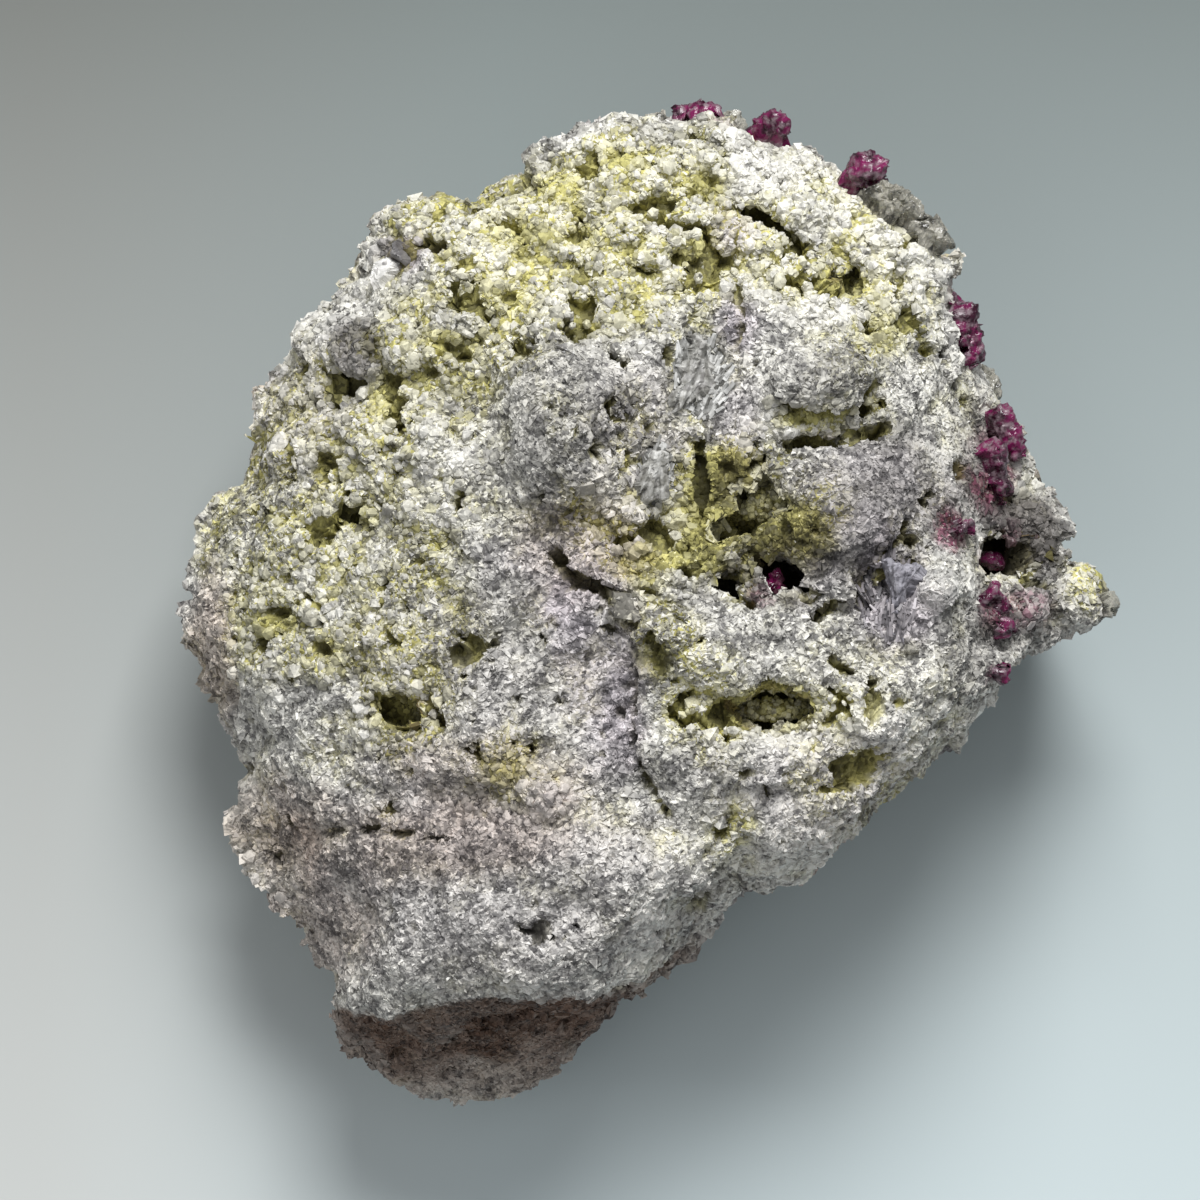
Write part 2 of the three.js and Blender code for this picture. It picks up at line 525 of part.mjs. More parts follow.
// Joins two neighbouring rows with triangles, going round both at an even pace.
function stitchRows(first, second, triangles) {
  let i = 0;
  let j = 0;
  const [a, b] = [first.length === 1 ? 0 : first.length, second.length === 1 ? 0 : second.length];
  while (i < a || j < b) {
    const inner = first.start + (i % first.length);
    const outer = second.start + (j % second.length);
    if (j < b && (i >= a || (j + 1) / b <= (i + 1) / a)) {
      triangles.push(inner, outer, second.start + ((j + 1) % second.length));
      j += 1;
    } else {
      triangles.push(inner, outer, first.start + ((i + 1) % first.length));
      i += 1;
    }
  }
}

function rockGeometry(grow) {
  const rows = rockRows(grow);
  const positions = rows.flat().flatMap((point) => point.toArray());
  const triangles = [];
  let start = 0;
  for (let i = 0; i + 1 < rows.length; i += 1) {
    const next = start + rows[i].length;
    stitchRows({ start, length: rows[i].length }, { start: next, length: rows[i + 1].length }, triangles);
    start = next;
  }
  const geometry = new THREE.BufferGeometry();
  geometry.setAttribute('position', new THREE.Float32BufferAttribute(positions, 3));
  geometry.setIndex(triangles);
  return geometry;
}

// Keeps only the places of the corners and joins those that coincide.
function welded(geometry) {
  geometry.deleteAttribute('normal');
  geometry.deleteAttribute('uv');
  return mergeVertices(geometry, 1e-4);
}

function solidFrom(geometry) {
  return new wasm.Manifold(new wasm.Mesh({
    numProp: 3,
    vertProperties: new Float32Array(geometry.getAttribute('position').array),
    triVerts: new Uint32Array(geometry.getIndex().array),
  }));
}

function geometryFrom(solid) {
  const { vertProperties, triVerts } = solid.getMesh();
  const geometry = new THREE.BufferGeometry();
  geometry.setAttribute('position', new THREE.BufferAttribute(new Float32Array(vertProperties), 3));
  geometry.setIndex(new THREE.BufferAttribute(new Uint32Array(triVerts), 1));
  return geometry;
}

// The largest piece of a solid that cutting may have broken up.
function largestPiece(solid) {
  return solid.decompose().reduce((best, piece) => (piece.volume() > best.volume() ? piece : best));
}

function movePoints(geometry, move) {
  const position = geometry.getAttribute('position');
  const point = new THREE.Vector3();
  for (let i = 0; i < position.count; i += 1) {
    move(point.fromBufferAttribute(position, i), i);
    position.setXYZ(i, point.x, point.y, point.z);
  }
  return geometry;
}

// A rounded broken body of half-sizes 1, with flats and dents.
function brokenBall(detail, seed, roughness) {
  const ball = welded(new THREE.IcosahedronGeometry(1, detail));
  return movePoints(ball, (point) => {
    point.multiplyScalar(1 + roughness * lumpiness(point.x + seed, point.y, point.z, 0.7));
  });
}

// A blocky broken grain of half-sizes 1.
function brokenGrain(seed) {
  const grain = welded(new THREE.OctahedronGeometry(1, 1));
  return movePoints(grain, (point) => {
    point.multiplyScalar(GRAIN_SIZE + GRAIN_ROUGHNESS * lumpiness(point.x + seed, point.y, point.z, 0.8));
  });
}

// A striated tourmaline prism along Y: a bulging three-sided section with flat
// side faces and a bevelled end.
function tourmalinePrism(length, width, seed) {
  const prism = welded(new THREE.CylinderGeometry(width / 2, width / 2, length, PRISM_SIDES, 2));
  return movePoints(prism, (point) => {
    const level = Math.round((point.y / length + 0.5) * 2);
    const angle = Math.atan2(point.z, point.x);
    const uneven = PRISM_UNEVENNESS * (scatter(seed, Math.round(angle * 9)) - 0.5);
    const section = 1 + PRISM_BULGE * Math.cos(3 * angle) + uneven;
    const bevel = level === 2 ? PRISM_END.width + PRISM_END.scatter * scatter(seed) : 1;
    const slant = level === 2 ? PRISM_END.slant * width * Math.cos(angle + seed) : 0;
    point.x *= section * bevel;
    point.z *= section * bevel;
    point.y = length * PRISM_LEVELS[level] + slant;
  });
}

function mesh(name, geometry, finish) {
  const material = new THREE.MeshStandardMaterial({ ...finish, metalness: 0, flatShading: true });
  const piece = new THREE.Mesh(geometry, material);
  piece.name = name;
  return piece;
}

function heightOf({ at, height, lift = 0 }) {
  return height ?? faceHeight(...at) + lift;
}

function rubellite(name, place, seed) {
  const piece = mesh(name, tourmalinePrism(place.length, place.width, seed), PINK);
  piece.position.set(...place.at, heightOf(place));
  piece.quaternion.setFromUnitVectors(UP, new THREE.Vector3(...place.along).normalize());
  return piece;
}

function quartz(name, place, seed) {
  const piece = mesh(name, brokenGrain(seed), QUARTZ);
  piece.geometry.scale(...place.half);
  piece.position.set(...place.at, heightOf(place));
  piece.rotation.z = radians(place.turn);
  return piece;
}

// A direction that runs along the wall, so many degrees out of level, and leaves it.
function leanAlongWall(angle, lean, outward) {
  const tilt = radians(lean);
  const around = new THREE.Vector3(-Math.sin(angle), Math.cos(angle), 0).multiplyScalar(Math.cos(tilt));
  const out = new THREE.Vector3(Math.cos(angle), Math.sin(angle), 0).multiplyScalar(outward);
  return around.add(out).add(new THREE.Vector3(0, 0, Math.sin(tilt)));
}

// A crystal sunk more than half into the wall.
function wallRubellite([direction, share, lean, length, width], index) {
  const angle = radians(direction);
  const seat = wallSeat(angle, share, SINGLE_SINK);
  const along = leanAlongWall(angle, lean, SINGLE_OUTWARD).toArray();
  const place = { at: [seat.x, seat.y], height: seat.z, along, length, width };
  return rubellite(`rubellite_wall_${index + 1}`, place, SEEDS.wallRubellites + index);
}

// Prisms that spring from one place on the wall, grown into each other.
function wallBundle(name, { direction, share, prisms }, seed) {
  const angle = radians(direction);
  const root = wallSeat(angle, share, BUNDLE_SINK);
  let solid = null;
  prisms.forEach(([aside, up, lean, length, width], i) => {
    const prism = tourmalinePrism(length, width, seed + i);
    const along = leanAlongWall(angle, lean, BUNDLE_OUTWARD * (i + 1)).normalize();
    prism.applyQuaternion(new THREE.Quaternion().setFromUnitVectors(UP, along));
    prism.translate(root.x - aside * Math.sin(angle), root.y + aside * Math.cos(angle), root.z + up);
    solid = solid ? solid.add(solidFrom(prism)) : solidFrom(prism);
  });
  return mesh(name, geometryFrom(largestPiece(solid)), PINK);
}

function wallQuartz([direction, share, size], index) {
  const seat = wallSeat(radians(direction), share, QUARTZ_SINK);
  const half = QUARTZ_SHAPE.map((part) => part * size);
  const grain = { at: [seat.x, seat.y], height: seat.z, half, turn: direction };
  return quartz(`quartz_wall_${index + 1}`, grain, SEEDS.wallQuartzes + index);
}

// A crystal's own space, a little larger than the crystal.
function spaceOf(piece) {
  piece.geometry.computeBoundingBox();
  const size = piece.geometry.boundingBox.getSize(new THREE.Vector3());
  const middle = piece.geometry.boundingBox.getCenter(new THREE.Vector3());
  const grow = size.clone().addScalar(2 * SEAT_GAP).divide(size);
  const space = piece.geometry.clone().translate(-middle.x, -middle.y, -middle.z);
  space.scale(grow.x, grow.y, grow.z).translate(middle.x, middle.y, middle.z);
  return solidFrom(space.applyMatrix4(piece.matrix));
}

// The slab of space just above and below the plane that the rock rests on.
function groundSolid() {
  const slab = welded(new THREE.BoxGeometry(2 * REACH, 2 * REACH, REACH));
  return solidFrom(slab.translate(0, 0, FOOT_CLEARANCE - REACH / 2));
}

// Each crystal cut away where it would run into the rock it grew on, the ground or
// the crystals named before it.
function seated(rock, pieces) {
  let taken = rock.add(groundSolid());
  pieces.forEach((piece) => {
    piece.updateMatrix();
    const space = spaceOf(piece);
    const whole = solidFrom(piece.geometry.clone().applyMatrix4(piece.matrix));
    const freed = geometryFrom(largestPiece(whole.subtract(taken)));
    piece.geometry = freed.applyMatrix4(piece.matrix.clone().invert());
    taken = taken.add(space);
  });
  return pieces;
}

function vugSolid({ at, sink, half, turn }, seed, shrink = 0) {
  const hollow = brokenBall(half[0] > FINE_VUG ? 2 : 1, seed, VUG_ROUGHNESS);
  hollow.scale(...half.map((size) => size - shrink));
  hollow.rotateZ(radians(turn));
  hollow.translate(...at, faceHeight(...at) - sink);
  return solidFrom(hollow);
}

// A narrow wedge that is widest at the face and leans under its upper edge.
function mouldSolid({ ends, half, depth, lean }) {
  const [[ax, ay], [bx, by]] = ends;
  const middle = [(ax + bx) / 2, (ay + by) / 2];
  const length = Math.hypot(bx - ax, by - ay);
  const wedge = welded(new THREE.OctahedronGeometry(1, length > LONG_MOULD ? 1 : 0));
  wedge.scale(length / 2, half, depth);
  movePoints(wedge, (point) => { point.y -= lean * point.z / depth; });
  wedge.rotateZ(Math.atan2(by - ay, bx - ax));
  wedge.translate(...middle, faceHeight(...middle));
  return solidFrom(wedge);
}

// Small blocky crystals that line a hollow, all one crust, clear of its wall.
function crust(name, { vug, shift, breadth, grains, size, pink }) {
  const { at, sink, half, turn } = VUGS[vug];
  const seed = VUG_SEEDS[vug];
  const room = vugSolid(VUGS[vug], seed, CRUST_GAP);
  const middle = [at[0] + shift[0], at[1] + shift[1]];
  const spread = [half[0] * breadth, half[1] * breadth];
  const floor = faceHeight(...at) - sink - half[2];
  const bed = brokenGrain(seed + 3);
  bed.scale(...spread, half[2] * CRUST_BED);
  bed.rotateZ(radians(turn));
  bed.translate(...middle, floor);
  let solid = solidFrom(bed);
  for (let i = 0; i < grains; i += 1) {
    const angle = radians(turn + 360 * i / grains);
    const reach = 0.5 + 0.3 * scatter(seed, i);
    const block = welded(new THREE.OctahedronGeometry(size * (0.8 + 0.5 * scatter(i, seed)), 0));
    block.rotateX(scatter(i, 1) * Math.PI);
    block.rotateY(scatter(i, 2) * Math.PI);
    block.translate(
      middle[0] + spread[0] * reach * Math.cos(angle),
      middle[1] + spread[1] * reach * Math.sin(angle),
      floor + half[2] * (CRUST_BED + 0.3 * scatter(seed, i, 5)));
    solid = solid.add(solidFrom(block));
  }
  return mesh(name, geometryFrom(largestPiece(solid.intersect(room))), pink ? PINK : YELLOW_CRUST);
}

// Blades or columns grown side by side from one root and fused there.
function bladeFan(name, { root, count, spread, heading, length, blade, lift }, seed, finish) {
  let solid = null;
  for (let i = 0; i < count; i += 1) {
    const share = i / (count - 1) - 0.5;
    const angle = radians(heading + spread * share);
    const reach = length * (0.75 + 0.35 * scatter(seed, i));
    const stick = welded(new THREE.CylinderGeometry(blade[0] / 2, blade[0] / 2, reach, 4, 1));
    stick.scale(1, 1, blade[1] / blade[0]);
    stick.rotateZ(angle - Math.PI / 2);
    const step = share * blade[0] * count * 0.55;
    const x = root[0] + Math.cos(angle) * reach * 0.5 + Math.sin(angle) * step;
    const y = root[1] + Math.sin(angle) * reach * 0.5 - Math.cos(angle) * step;
    stick.translate(x, y, faceHeight(x, y) + lift + 0.4 * (scatter(i, seed) - 0.5));
    const next = solidFrom(stick);
    solid = solid ? solid.add(next) : next;
  }
  return mesh(name, geometryFrom(largestPiece(solid)), finish);
}

// A cleaved mica plate with a ragged edge, lying on the face.
function micaPlate(name, { at, lift, size, thickness, tilt, turn }, seed) {
  const plate = welded(new THREE.CylinderGeometry(size / 2, size / 2, thickness, PLATE_SIDES, 1));
  movePoints(plate, (point) => {
    const corner = Math.round(Math.atan2(point.z, point.x) * PLATE_SIDES);
    const ragged = 1 + PLATE_RAGGEDNESS * (scatter(seed, corner) - 0.5);
    point.x *= ragged;
    point.z *= ragged;
  });
  const piece = mesh(name, plate, MICA);
  piece.position.set(...at, faceHeight(...at) + lift);
  piece.rotation.set(Math.PI / 2 + radians(tilt[0]), radians(turn), radians(tilt[1]));
  return piece;
}

function facePieces() {
  return [
    ...Object.entries(RUBELLITES).map(([name, place], i) => rubellite(name, place, SEEDS.rubellites + i)),
    ...Object.entries(QUARTZES).map(([name, place], i) => quartz(name, place, SEEDS.quartzes + i)),
    ...Object.entries(WALL_BUNDLES).map(([name, bundle], i) => (
      wallBundle(name, bundle, SEEDS.bundles + SEEDS.bundleStep * i))),
    ...WALL_RUBELLITES.map(wallRubellite),
    ...WALL_QUARTZES.map(wallQuartz),
    ...Object.entries(MICA_PLATES).map(([name, plate], i) => micaPlate(name, plate, SEEDS.plates + i)),
    bladeFan('lavender_columns', LAVENDER_FAN, SEEDS.lavender, LAVENDER),
    bladeFan('albite_blades', ALBITE_FAN, SEEDS.albite, WHITE_BLADES),
    bladeFan('albite_blades_lower', LOWER_ALBITE_FAN, SEEDS.lowerAlbite, WHITE_BLADES),
  ];
}

// The knob at the end of the nose, grown all over by a small amount.
function noseSolid({ at, height, half, turn }, grow) {
  const knob = brokenBall(2, SEEDS.nose, BALL_ROUGHNESS);
  knob.scale(...half.map((size) => size + grow));
  knob.rotateZ(radians(turn));
  knob.translate(...at, height);
  return solidFrom(knob);
}

// The bare rock with its vugs and moulds, grown all over by a small amount.
function hollowedRock(grow) {
  let rock = solidFrom(rockGeometry(grow)).add(noseSolid(NOSE, grow));
  Object.entries(VUGS).forEach(([name, vug], i) => {
    rock = rock.subtract(vugSolid(vug, VUG_SEEDS[name] ?? LAST_VUG_SEED + i, grow));
  });
  MOULDS.forEach((mould) => { rock = rock.subtract(mouldSolid(mould)); });
  return largestPiece(rock);
}

function cluster() {
  const matrix = mesh('matrix', geometryFrom(hollowedRock(0)), ROCK);
  const clearance = hollowedRock(SEAT_GAP);
  const crystals = seated(clearance, facePieces());
  const group = new THREE.Group();
  const crusts = Object.entries(CRUSTS).map(([name, lining]) => crust(name, lining));
  group.add(matrix, ...crystals, ...crusts);
  const middle = new THREE.Box3().setFromObject(group, true).getCenter(new THREE.Vector3());
  group.position.set(-middle.x, -middle.y, 0);
  return group;
}

export default cluster();
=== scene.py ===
import itertools
import json
import math

import bmesh
import bpy
import numpy as np
from bpy.props import (
    FloatProperty,
    FloatVectorProperty,
    IntProperty,
    PointerProperty,
)
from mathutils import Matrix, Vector
from mathutils.bvhtree import BVHTree

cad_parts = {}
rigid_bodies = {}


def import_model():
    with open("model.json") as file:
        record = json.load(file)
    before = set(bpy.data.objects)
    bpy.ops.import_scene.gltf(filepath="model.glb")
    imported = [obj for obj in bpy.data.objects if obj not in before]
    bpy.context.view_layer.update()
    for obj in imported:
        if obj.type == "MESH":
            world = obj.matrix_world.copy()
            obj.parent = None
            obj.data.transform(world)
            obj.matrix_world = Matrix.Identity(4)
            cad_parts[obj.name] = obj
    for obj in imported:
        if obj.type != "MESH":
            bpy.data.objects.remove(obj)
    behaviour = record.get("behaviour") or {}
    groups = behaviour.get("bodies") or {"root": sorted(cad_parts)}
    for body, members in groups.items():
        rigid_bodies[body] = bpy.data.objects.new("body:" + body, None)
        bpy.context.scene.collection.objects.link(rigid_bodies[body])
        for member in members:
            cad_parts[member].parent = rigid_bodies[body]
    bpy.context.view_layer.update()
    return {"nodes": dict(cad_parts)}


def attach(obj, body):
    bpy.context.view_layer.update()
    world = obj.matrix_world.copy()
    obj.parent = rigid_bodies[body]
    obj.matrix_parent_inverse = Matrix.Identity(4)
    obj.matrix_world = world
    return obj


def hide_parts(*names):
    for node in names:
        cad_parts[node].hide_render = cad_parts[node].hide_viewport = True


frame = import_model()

bl_info = {
    "name": "Tourmaline cluster on matrix",
    "version": (1, 0, 0),
    "blender": (4, 5, 0),
    "location": "View3D > Sidebar > Mineral",
    "description": "Grains, vugs, mica and rubellite crystals on a lump of lepidolite rock",
    "category": "Add Mesh",
}

BODY = "root"
MM = 0.001

# The photograph: its side in pixels, its scale, the pixel at the middle of the
# rock's outline, and how far that middle lies from the frame's origin.
PHOTO_SIDE = 1200
PIXELS_PER_MM = 7.8
OUTLINE_MIDDLE = (654.0, 608.5)
OUTLINE_SHIFT = (0.39, -0.32)
RIM_HEIGHT = 28.0
CAMERA_DISTANCE = 1.3
SENSOR_WIDTH = 36.0

# Places on the face by pixel: centre, half-sizes, turn in degrees (anticlockwise)
# and strength. Where the grains are coarse.
COARSE_PLACES = [
    (560, 225, 240, 120, 0, 1.0), (770, 200, 180, 100, -15, 0.9), (390, 330, 120, 120, 50, 0.7),
    (700, 530, 120, 70, 0, 1.0), (300, 620, 110, 90, 0, 0.6), (390, 450, 120, 110, 0, 0.55),
    (760, 715, 120, 40, 0, 0.7), (880, 290, 100, 60, 0, 0.5), (520, 790, 70, 50, 0, 0.5),
    (820, 420, 80, 30, 0, 0.7), (400, 710, 50, 50, 0, 0.7), (1020, 540, 60, 90, 0, 0.6),
]
# Where the yellow-green stain is strong.
STAIN_PLACES = [
    (560, 240, 190, 80, -8, 0.75), (770, 255, 150, 60, 0, 0.5), (450, 350, 90, 45, 0, 0.6),
    (390, 410, 60, 60, 0, 0.8), (352, 505, 60, 50, 20, 0.8), (280, 620, 60, 50, 0, 0.8),
    (335, 655, 60, 30, 0, 0.6), (400, 705, 45, 40, 0, 0.9), (255, 530, 50, 110, 0, 0.35),
    (735, 500, 80, 60, 0, 1.0), (655, 540, 90, 40, -20, 0.75), (765, 705, 75, 26, 0, 1.0),
    (660, 640, 34, 44, 0, 0.8), (505, 765, 60, 40, 0, 0.4),
    (715, 830, 40, 40, 0, 0.4), (845, 765, 60, 26, 0, 0.6), (820, 420, 66, 22, 0, 0.9),
    (838, 282, 40, 30, 0, 0.9), (880, 335, 50, 40, 0, 0.55), (430, 630, 60, 60, 0, 0.35),
    (700, 700, 50, 60, 0, 0.45), (330, 560, 120, 80, 0, 0.4), (500, 270, 130, 110, 0, 0.3),
    (320, 430, 90, 90, 0, 0.35), (880, 780, 90, 60, 0, 0.2), (690, 332, 44, 26, -20, 0.4),
    (632, 425, 26, 60, 0, 0.3),
    (1085, 585, 34, 22, -30, 0.9), (660, 150, 80, 34, 0, 0.6),
]
# Where the rock is lavender.
VIOLET_PLACES = [
    (580, 570, 80, 60, 0, 0.5), (605, 680, 50, 110, 0, 0.7), (628, 700, 22, 80, 0, 0.6),
    (735, 325, 26, 30, 0, 1.0), (870, 490, 90, 50, 0, 0.5), (890, 595, 45, 55, 0, 0.9),
    (640, 430, 60, 60, 0, 0.4), (480, 870, 200, 110, 0, 0.35), (820, 560, 60, 40, 0, 0.5),
    (820, 780, 120, 60, 0, 0.35), (405, 255, 30, 22, 0, 0.8), (470, 690, 150, 80, 0, 0.2),
    (730, 235, 30, 30, 0, 0.7), (735, 440, 26, 70, 0, 0.5), (300, 400, 70, 90, 0, 0.25),
]
# Where it is brownish and dull.
BROWN_PLACES = [
    (265, 830, 60, 70, 0, 0.25), (430, 835, 160, 45, 0, 0.3), (208, 660, 26, 90, 0, 0.35),
    (320, 930, 60, 60, 0, 0.25), (580, 540, 60, 60, 0, 0.2), (470, 770, 110, 40, 0, 0.2),
]
# Where white albite shows.
WHITE_PLACES = [
    (698, 384, 26, 36, 20, 0.2), (682, 415, 20, 14, 0, 0.3), (656, 476, 14, 28, 0, 0.3),
    (940, 580, 30, 24, 0, 0.3),
]
# Where the rock is dark grey and smooth grained, and where the deep pockets and vugs get painted
# shade.
DARK_AND_SHADED_PLACES = [
    (360, 352, 30, 30, 0, 0.8), (400, 256, 24, 20, 0, 1.0), (818, 380, 56, 34, 15, 0.3),
    (560, 425, 46, 95, 0, 0.15), (910, 480, 60, 40, 0, 0.3), (985, 440, 26, 60, 0, 0.45),
    (1020, 545, 46, 44, 0, 0.85), (775, 575, 50, 34, 0, 0.9), (720, 585, 24, 20, 0, 0.8),
    (1000, 480, 40, 60, -20, 0.25), (965, 520, 30, 40, 0, 0.4), (965, 650, 40, 30, 0, 0.4),
    (990, 612, 22, 28, 0, 0.6), (1040, 545, 40, 50, 0, 0.4), (1030, 620, 36, 30, 0, 0.5),
    (885, 440, 60, 20, 10, 0.4), (485, 630, 80, 90, 0, 0.2), (570, 425, 60, 100, 0, 0.22),
    (850, 520, 80, 60, 0, 0.4), (740, 510, 70, 50, 0, 0.35),
]
# Where cavities are lined with olive-yellow crystals.
OLIVE_PLACES = [
    (744, 516, 62, 52, -35, 1.0), (768, 706, 52, 19, 0, 1.0), (838, 283, 32, 19, -20, 1.0),
    (735, 470, 26, 20, 0, 0.8), (800, 530, 26, 20, 0, 0.7),
    (398, 712, 27, 24, 0, 0.9), (357, 516, 20, 16, -20, 0.9), (652, 273, 16, 12, 0, 0.9),
    (706, 188, 22, 14, -20, 0.9), (278, 622, 22, 14, 0, 0.8), (331, 650, 20, 20, 0, 0.8),
    (822, 416, 46, 9, 6, 0.9), (632, 620, 16, 12, 0, 0.5), (390, 400, 20, 30, 0, 0.8),
    (620, 165, 26, 16, 0, 0.8), (560, 240, 60, 22, 0, 0.6), (455, 350, 36, 14, -15, 0.8),
    (690, 560, 60, 14, -8, 0.8), (640, 575, 40, 24, -25, 0.6), (656, 655, 16, 20, 0, 0.9),
    (845, 765, 24, 10, 0, 0.8), (880, 330, 20, 26, 0, 0.5), (560, 190, 30, 18, 0, 0.6),
    (500, 300, 44, 18, 0, 0.5), (505, 765, 24, 14, 0, 0.6), (700, 250, 26, 16, 30, 0.7),
]
# Where it is paler and where it is duller than the rest, partly its own colour and partly painted
# light and painted shade on the lit and shaded sides of its forms, and by how much either may be.
PALE_AND_LIT_PLACES = [
    (560, 220, 240, 100, 0, 0.95), (830, 250, 150, 110, 0, 0.8), (820, 790, 180, 80, 25, 1.0),
    (872, 748, 110, 62, 30, 1.0), (700, 860, 110, 60, 0, 0.7), (545, 330, 76, 26, 8, 0.8),
    (640, 512, 96, 24, -6, 1.0), (806, 508, 22, 26, 0, 1.0), (415, 655, 60, 46, 0, 0.7),
    (692, 688, 30, 30, 0, 0.9), (508, 752, 34, 28, 0, 0.8), (572, 806, 36, 28, 0, 0.7),
]
DULL_AND_SHADED_PLACES = [
    (560, 425, 70, 110, 0, 0.5), (850, 520, 90, 70, 0, 0.8), (440, 900, 190, 120, 0, 0.8),
    (818, 378, 60, 36, 15, 0.5), (745, 515, 70, 60, 0, 0.7), (470, 720, 110, 80, 0, 0.2),
    (760, 590, 90, 34, 0, 0.6), (965, 650, 50, 40, 0, 1.0), (1015, 555, 50, 44, 0, 1.0),
    (700, 420, 60, 20, 0, 0.3), (225, 620, 50, 90, 0, 0.45), (655, 478, 24, 34, 0, 1.0),
    (718, 385, 36, 50, 0, 0.8), (618, 425, 44, 64, 0, 0.9), (690, 452, 26, 30, 0, 0.5),
    (720, 136, 110, 26, 0, 0.7), (386, 338, 34, 34, 0, 0.8), (716, 326, 74, 28, -12, 0.9),
    (806, 336, 44, 26, 0, 0.5), (448, 392, 34, 34, 0, 0.8), (508, 540, 34, 62, 0, 0.9),
    (905, 508, 62, 32, 0, 1.0), (966, 566, 50, 34, 0, 1.0), (746, 628, 44, 24, -8, 1.0),
    (850, 634, 100, 28, -6, 0.9), (936, 686, 40, 30, 20, 1.0), (640, 752, 90, 26, 0, 0.6),
    (448, 806, 36, 26, 0, 0.6),
]
BRIGHTEST = 0.2
# Where it is pink with broken tourmaline.
PINK_PLACES = [
    (990, 478, 26, 34, -20, 1.0), (949, 530, 16, 20, 0, 0.9), (1020, 608, 24, 26, 0, 0.6),
    (980, 445, 14, 22, 0, 0.6), (1000, 430, 12, 30, -20, 0.6), (990, 612, 18, 24, 0, 0.8),
    (962, 330, 10, 30, 0, 0.7), (760, 128, 22, 12, -20, 0.6), (735, 122, 26, 9, 0, 0.5),
    (988, 672, 10, 8, 0, 0.8), (760, 592, 20, 14, 0, 0.5), (1012, 548, 12, 26, 0, 0.6),
]
# Where the rock is smooth and its grains are finest.
SMOOTH_PLACES = [
    (450, 940, 210, 110, 0, 1.0), (480, 1050, 200, 80, 0, 1.0), (626, 700, 18, 80, 0, 0.9),
    (665, 940, 80, 50, 35, 1.0), (850, 505, 70, 40, 0, 0.6), (820, 372, 60, 30, 18, 0.5),
    (420, 890, 170, 80, 0, 0.7), (510, 660, 120, 120, 0, 0.4),
]
# Raised forms: centre, half-sizes, turn and height in millimetres.
LUMP_PLACES = [
    (560, 425, 46, 98, 0, 1.4), (818, 377, 58, 32, 18, 1.8), (850, 512, 62, 40, 0, 1.2),
    (660, 627, 28, 21, 0, 1.6), (943, 579, 28, 22, 0, 1.0), (362, 352, 25, 27, 0, 1.0),
    (712, 655, 52, 30, -10, 1.2), (905, 690, 80, 40, 30, 1.0), (470, 250, 50, 26, 10, 1.2),
    (600, 170, 46, 22, -10, 1.2), (890, 250, 44, 30, 0, 1.2), (300, 470, 50, 30, 60, 1.0),
    (430, 480, 34, 60, 0, 0.9), (790, 200, 44, 26, -20, 1.2), (770, 760, 60, 24, 0, 1.0),
]
